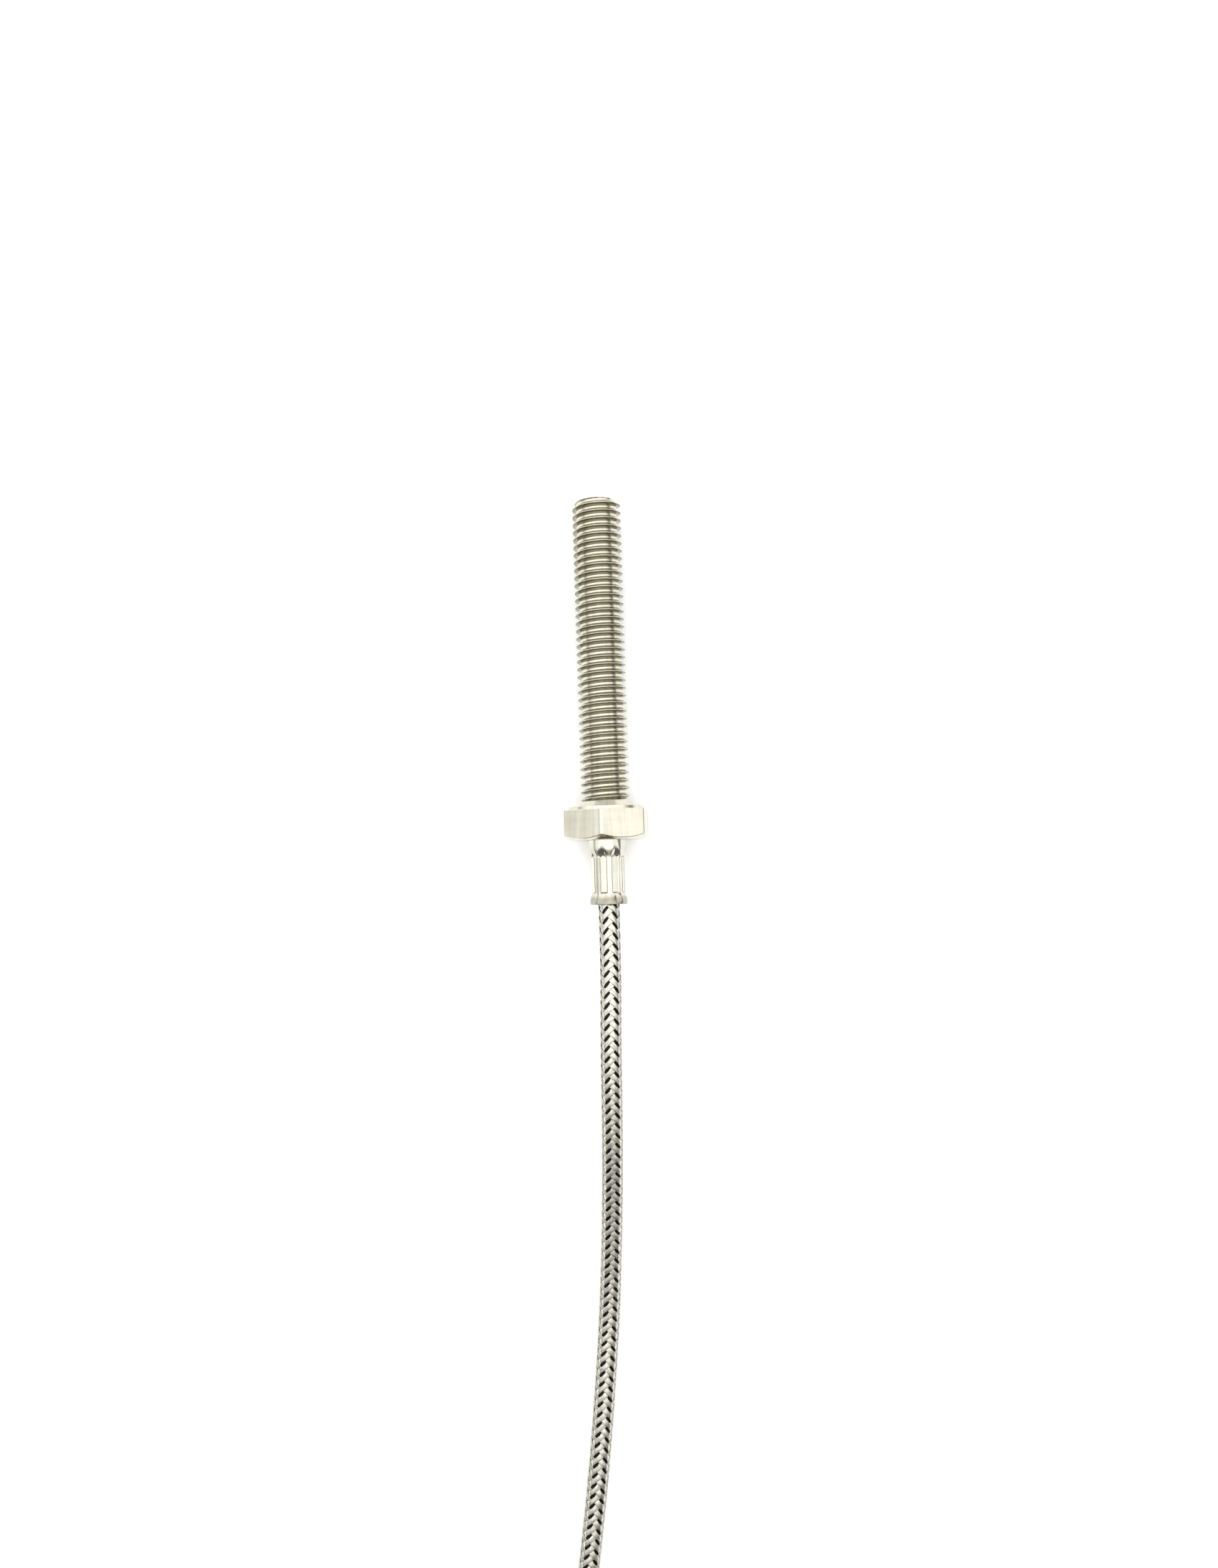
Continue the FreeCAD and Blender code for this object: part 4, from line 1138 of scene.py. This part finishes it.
# the stretched metal of the flared mouth is satin, so it is rougher there, and its colour is darkened there
# as painted shade
tree = ferrule_steel.node_tree
shader = tree.nodes["Principled BSDF"]
height = tree.nodes.new("ShaderNodeSeparateXYZ")
tree.links.new(tree.nodes["Texture Coordinate"].outputs["Object"], height.inputs["Vector"])
satin_and_shade = joined(tree, "ShaderNodeMapRange", Value=height.outputs["Y"])
satin_and_shade.inputs["From Min"].default_value = SATIN_SHADE_FROM_M
satin_and_shade.inputs["From Max"].default_value = SATIN_SHADE_UNTIL_M
for socket_name, satin_and_shade_value in (("Base Color", (0.34, 0.33, 0.27, 1.0)), ("Roughness", 0.25)):
    blend = tree.nodes.new("ShaderNodeMix")
    blend.data_type = "RGBA" if socket_name == "Base Color" else "FLOAT"
    sides = [socket for socket in blend.inputs if socket.enabled and socket.name in "AB"]
    tree.links.new(shader.inputs[socket_name].links[0].from_socket, sides[0])
    sides[1].default_value = satin_and_shade_value
    tree.links.new(satin_and_shade.outputs["Result"], blend.inputs["Factor"])
    made = [socket for socket in blend.outputs if socket.enabled][0]
    tree.links.new(made, shader.inputs[socket_name])


def outer_at(along):
    """The radius function of the outer skin at one place along the axis."""
    return lambda turn: ferrule_radius(along, turn)


outer_places = [-5.2, -6.2, -6.6, -6.8, -7.0]
outer_places += [-7.0 - 0.085 * k for k in range(1, 20)]
outer_places += [-8.7, -8.8, -9.0, -9.6, -10.4, -11.2, -12.0, -12.7, -13.0]
outer_places += [-13.1 - 0.07 * k for k in range(1, 34)]
rings = [(FLANGE_FRONT, SHEATH_R + 0.02), (FLANGE_FRONT, FLANGE_R - 0.1), (FLANGE_FRONT - 0.1, FLANGE_R)]
rings += [(FLANGE_BACK + 0.1, FLANGE_R), (FLANGE_BACK, FLANGE_R - 0.1), (FLANGE_BACK, COLLAR_R)]
rings += [(along, outer_at(along)) for along in outer_places]
rings += [(MOUTH_LIP_AT, outer_at(MOUTH_LIP_AT))]
rings += [(FERRULE_END, lambda turn: ferrule_radius(FERRULE_END, turn) - 0.07)]
rings += [(FERRULE_END, 2.84), (MOUTH_LIP_AT, 2.78), (-15.2, 2.55), (-14.6, 2.15), (-14.1, 1.90)]
rings += [(-13.7, FERRULE_BORE_R)]
rings += [(-7.4, FERRULE_BORE_R), (-7.2, SHEATH_R + 0.02)]
ferrule = ring_stack(
    "ferrule", rings, even_turns(FERRULE_COLUMNS), ferrule_steel, bolt_frame, closed_ring=True
)
smooth_but_sharp(ferrule, 42.0)
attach(ferrule, "lead")
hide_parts("crimp_ferrule")


# ---- Bolt: stainless M8 hexagon bolt, threaded to the neck ----
# Turned from bar with a washer face and a neck, then the thread is rolled on over the shank.
# It turns freely on the ferrule's flange, and its blind bore holds the probe.
PITCH, MAJOR_R, MINOR_R = 1.25, 3.98, 3.233
SHANK_LENGTH, TIP_R, TIP_CHAMFER = 50.0, 3.28, 0.75
NECK_LENGTH, NECK_ROOT_R, NECK_END_R, FOOT_GAP = 1.1, 4.55, 3.72, 0.12
ROWS_PER_TURN, COLUMNS = 20, 84
THREAD_PHASE = -0.314
ACROSS_FLATS, HEAD_HEIGHT = 13.0, 5.3
WASHER_R, WASHER_T = 6.2, 0.5
CHAMFER_R, CHAMFER_DEG, CORNER_EASE = 6.15, 30.0, 0.6
CORNER_TURN_DEG = -5.9
HEAD_EASE, LIP_UNTIL, SEAT_UNTIL = 0.10, -4.5, -2.85
LEAD_IN = 0.8
SEAT_R, LIP_R, BORE_R, BORE_END, DRILL_POINT = 3.65, 3.10, 1.58, 46.4, 47.3

bolt_steel = brushed_steel("bolt_steel", (0.64, 0.62, 0.53), 0.19, 1500.0, 0.000012)

thread_steel = brushed_steel("thread_steel", (0.63, 0.605, 0.515), 0.20, 1500.0, 0.000006)
tree = thread_steel.node_tree
shader = tree.nodes["Principled BSDF"]
# painted light: the colour is multiplied by a ramp over the flank height, with painted highlights white at
# the root and crest and painted shade on the flanks, darkest just under the crest
flank = tree.nodes.new("ShaderNodeAttribute")
flank.attribute_name = "flank"
painted_thread_light = joined(tree, "ShaderNodeValToRGB", Fac=flank.outputs["Fac"])
painted_thread_light.color_ramp.elements[0].position = 0.03
painted_thread_light.color_ramp.elements[0].color = (1.0, 1.0, 1.0, 1.0)
painted_thread_light.color_ramp.elements[1].position = 0.14
painted_thread_light.color_ramp.elements[1].color = (0.66, 0.65, 0.58, 1.0)
painted_light_stops = [
    (0.55, (0.50, 0.49, 0.43, 1.0)),
    (0.90, (0.24, 0.23, 0.19, 1.0)),
    (0.975, (1.0, 1.0, 1.0, 1.0)),
]
for spot, shade in painted_light_stops:
    painted_thread_light.color_ramp.elements.new(spot).color = shade
painted_light_mix = tree.nodes.new("ShaderNodeMix")
painted_light_mix.data_type = "RGBA"
painted_light_mix.blend_type = "MULTIPLY"
painted_light_mix.inputs["Factor"].default_value = 1.0
plain = shader.inputs["Base Color"].links[0].from_socket
tree.links.new(plain, painted_light_mix.inputs["A"])
tree.links.new(painted_thread_light.outputs["Color"], painted_light_mix.inputs["B"])
tree.links.new(painted_light_mix.outputs["Result"], shader.inputs["Base Color"])

thread_tree, thread_size = new_tree(
    "rolled_thread",
    ["Pitch", "Major radius", "Minor radius", "Length", "Tip radius", "Neck length",
     "Neck root", "Neck end", "Phase", "Lead in"],
)
thread_step = partial(value_step, thread_tree)
turns = int((SHANK_LENGTH + 3.0) / PITCH) + 2
grid = joined(
    thread_tree,
    "GeometryNodeMeshGrid",
    Size_X=1.0,
    Size_Y=1.0,
    Vertices_X=turns * ROWS_PER_TURN + 1,
    Vertices_Y=COLUMNS + 1,
)
number = thread_tree.nodes.new("GeometryNodeInputIndex").outputs["Index"]
row = thread_step("DIVIDE", thread_step("ADD", number, 0.25), COLUMNS + 1.0)
row = thread_step("FLOOR", row)
column = thread_step("SUBTRACT", number, thread_step("MULTIPLY", row, COLUMNS + 1.0))
turned = thread_step("DIVIDE", column, float(COLUMNS))
angle = thread_step("MULTIPLY", turned, 2 * math.pi)
phase = thread_step("DIVIDE", row, float(ROWS_PER_TURN))
place = thread_step("ADD", phase, turned)
place = thread_step("ADD", place, thread_size["Phase"])
raw = thread_step("MULTIPLY", thread_step("SUBTRACT", place, 1.5), thread_size["Pitch"])
# one turn's outline: flat crest, straight flanks, rounded root
wave = thread_step("FRACT", phase)
wave = thread_step("ABSOLUTE", thread_step("SUBTRACT", wave, 0.5), 0.0)
outline = joined(thread_tree, "ShaderNodeFloatCurve", Value=wave)
curve = outline.mapping.curves[0]
curve.points[0].location = (0.0, 0.0)
curve.points[1].location = (1.0, 1.0)
flank_places = [(0.05, 0.004), (0.10, 0.016), (0.15, 0.050), (0.20, 0.110)]
flank_places += [(0.44, 0.955), (0.46, 0.985), (0.5, 1.0)]
for x, y in flank_places:
    curve.points.new(x, y)
for point in curve.points:
    point.handle_type = "VECTOR"
outline.mapping.update()
depth = thread_step("SUBTRACT", thread_size["Major radius"], thread_size["Minor radius"])
cut = thread_step("MULTIPLY", outline.outputs["Value"], depth)
cut = thread_step("ADD", cut, thread_size["Minor radius"])
# the tip's chamfer, then the flat end face drawn in to the axis
past_end = thread_step("MAXIMUM", thread_step("SUBTRACT", raw, thread_size["Length"]), 0.0)
along = thread_step("MAXIMUM", thread_step("MINIMUM", raw, thread_size["Length"]), 0.0)
slope = thread_step("SUBTRACT", thread_size["Length"], along)
slope = thread_step("MULTIPLY", slope, (MAJOR_R - TIP_R) / TIP_CHAMFER)
limit = thread_step("ADD", slope, thread_size["Tip radius"])
cut = thread_step("MINIMUM", cut, limit)
# the neck's cone runs into the first turns
cone = thread_step("DIVIDE", along, thread_size["Neck length"])
taper = thread_step("SUBTRACT", thread_size["Neck end"], thread_size["Neck root"])
cone = thread_step("MULTIPLY", cone, taper)
cone = thread_step("ADD", cone, thread_size["Neck root"])
cut = thread_step("MAXIMUM", cut, cone)
before_neck = thread_step("LESS_THAN", along, thread_size["Neck length"])
fixed = thread_step("MULTIPLY", thread_step("SUBTRACT", cone, cut), before_neck)
cut = thread_step("ADD", cut, fixed)
draw_in = thread_step("DIVIDE", past_end, thread_size["Lead in"])
draw_in = thread_step("MAXIMUM", thread_step("SUBTRACT", 1.0, draw_in), 0.0)
cut = thread_step("MULTIPLY", cut, draw_in)
side = thread_step("MULTIPLY", cut, thread_step("SINE", angle))
top = thread_step("MULTIPLY", cut, thread_step("COSINE", angle))
turned_place = joined(thread_tree, "ShaderNodeCombineXYZ", X=side, Y=along, Z=top)
# how far up the flank each place is, for the painted highlights and painted shade on the thread
on_thread = thread_step("GREATER_THAN", along, thread_size["Neck length"])
flank_height_share = thread_step("MULTIPLY", outline.outputs["Value"], on_thread)
on_side = thread_step("LESS_THAN", past_end, 0.000001)
flank_height_share = thread_step("MULTIPLY", flank_height_share, on_side)
keep_flank_height = joined(
    thread_tree, "GeometryNodeStoreNamedAttribute", Geometry=grid.outputs["Mesh"], Name="flank"
)
keep_flank_height.data_type = "FLOAT"
thread_tree.links.new(flank_height_share, keep_flank_height.inputs["Value"])
rolled = joined(
    thread_tree,
    "GeometryNodeSetPosition",
    Geometry=keep_flank_height.outputs["Geometry"],
    Position=turned_place.outputs["Vector"],
)
welded = joined(
    thread_tree, "GeometryNodeMergeByDistance", Geometry=rolled.outputs["Geometry"], Distance=0.000001
)
close_tree(thread_tree, welded.outputs["Geometry"], thread_steel)
shank = grown(
    "bolt_shank",
    bpy.data.meshes.new("shank_seed"),
    thread_tree,
    {
        "Pitch": PITCH * MM,
        "Major radius": MAJOR_R * MM,
        "Minor radius": MINOR_R * MM,
        "Length": SHANK_LENGTH * MM,
        "Tip radius": TIP_R * MM,
        "Neck length": NECK_LENGTH * MM,
        "Neck root": NECK_ROOT_R * MM,
        "Neck end": NECK_END_R * MM,
        "Phase": THREAD_PHASE,
        "Lead in": LEAD_IN * MM,
    },
)
shank.data.transform(bolt_frame)


def hexagon_radius(turn):
    """The hexagon's radius at an angle from one of its corners, with its corners eased."""
    off_corner = math.radians(abs((turn + 30.0) % 60.0 - 30.0))
    sharp = ACROSS_FLATS / 2 / math.cos(math.radians(30.0) - off_corner)
    pivot = (ACROSS_FLATS / 2 - CORNER_EASE) / math.cos(math.radians(30.0))
    reach = CORNER_EASE ** 2 - (pivot * math.sin(off_corner)) ** 2
    if reach <= 0:
        return sharp
    return min(sharp, pivot * math.cos(off_corner) + math.sqrt(reach))


def chamfer_place(turn):
    """Where the rear cone meets the flat at that angle."""
    rise = (hexagon_radius(turn) - CHAMFER_R) * math.tan(math.radians(CHAMFER_DEG))
    return -HEAD_HEIGHT + rise


turned_frame = bolt_frame @ Matrix.Rotation(math.radians(CORNER_TURN_DEG), 4, "Y")
rings = [(0.0, NECK_ROOT_R + FOOT_GAP), (0.0, WASHER_R - 0.06), (-0.06, WASHER_R)]
rings += [(-WASHER_T, WASHER_R + 0.02)]
flat_from = -WASHER_T - HEAD_EASE
rings += [(-WASHER_T, lambda t: hexagon_radius(t) - HEAD_EASE), (flat_from, hexagon_radius)]
for share in (0.25, 0.5, 0.75):
    rings += [(lambda t, s=share: flat_from * (1 - s) + (chamfer_place(t) + 0.06) * s, hexagon_radius)]
rings += [(lambda t: chamfer_place(t) + 0.06, hexagon_radius)]
rings += [(lambda t: chamfer_place(t) - 0.03, lambda t: hexagon_radius(t) - 0.06)]
rings += [(-HEAD_HEIGHT + 0.02, CHAMFER_R + 0.03), (-HEAD_HEIGHT, CHAMFER_R - 0.03)]
rings += [(-HEAD_HEIGHT, LIP_R + 0.3), (-HEAD_HEIGHT + 0.3, LIP_R), (LIP_UNTIL, LIP_R)]
rings += [(LIP_UNTIL, SEAT_R), (SEAT_UNTIL, SEAT_R), (SEAT_UNTIL, BORE_R)]
rings += [(BORE_END, BORE_R), (DRILL_POINT, 0)]
corner_steps = [-25.0, -20.0, -15.0, -10.0, -5.5, -3.2, -2.35, -1.6, -0.8, 0.0]
corner_steps += [-step for step in reversed(corner_steps[:-1])] + [30.0]
head_turns = [60.0 * corner + step for corner in range(6) for step in corner_steps]
head = ring_stack("bolt_head", rings, head_turns, bolt_steel, turned_frame)
smooth_but_sharp(head, 24.0)
smooth_but_sharp(shank, 38.0)

# head and shank are one piece of steel, so the gap between their two open edges is closed
with bpy.context.temp_override(active_object=shank, selected_editable_objects=[shank, head]):
    bpy.ops.object.join()
hex_bolt = shank
hex_bolt.name = "hexagon_bolt"
shape = bmesh.new()
shape.from_mesh(hex_bolt.data)
open_edges = [edge for edge in shape.edges if edge.is_boundary]
bridge = bmesh.ops.bridge_loops(shape, edges=open_edges)
for face in bridge["faces"]:
    face.material_index = 1
    face.smooth = True
bmesh.ops.recalc_face_normals(shape, faces=shape.faces)
shape.to_mesh(hex_bolt.data)
shape.free()
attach(hex_bolt, "bolt")
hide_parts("hex_bolt")
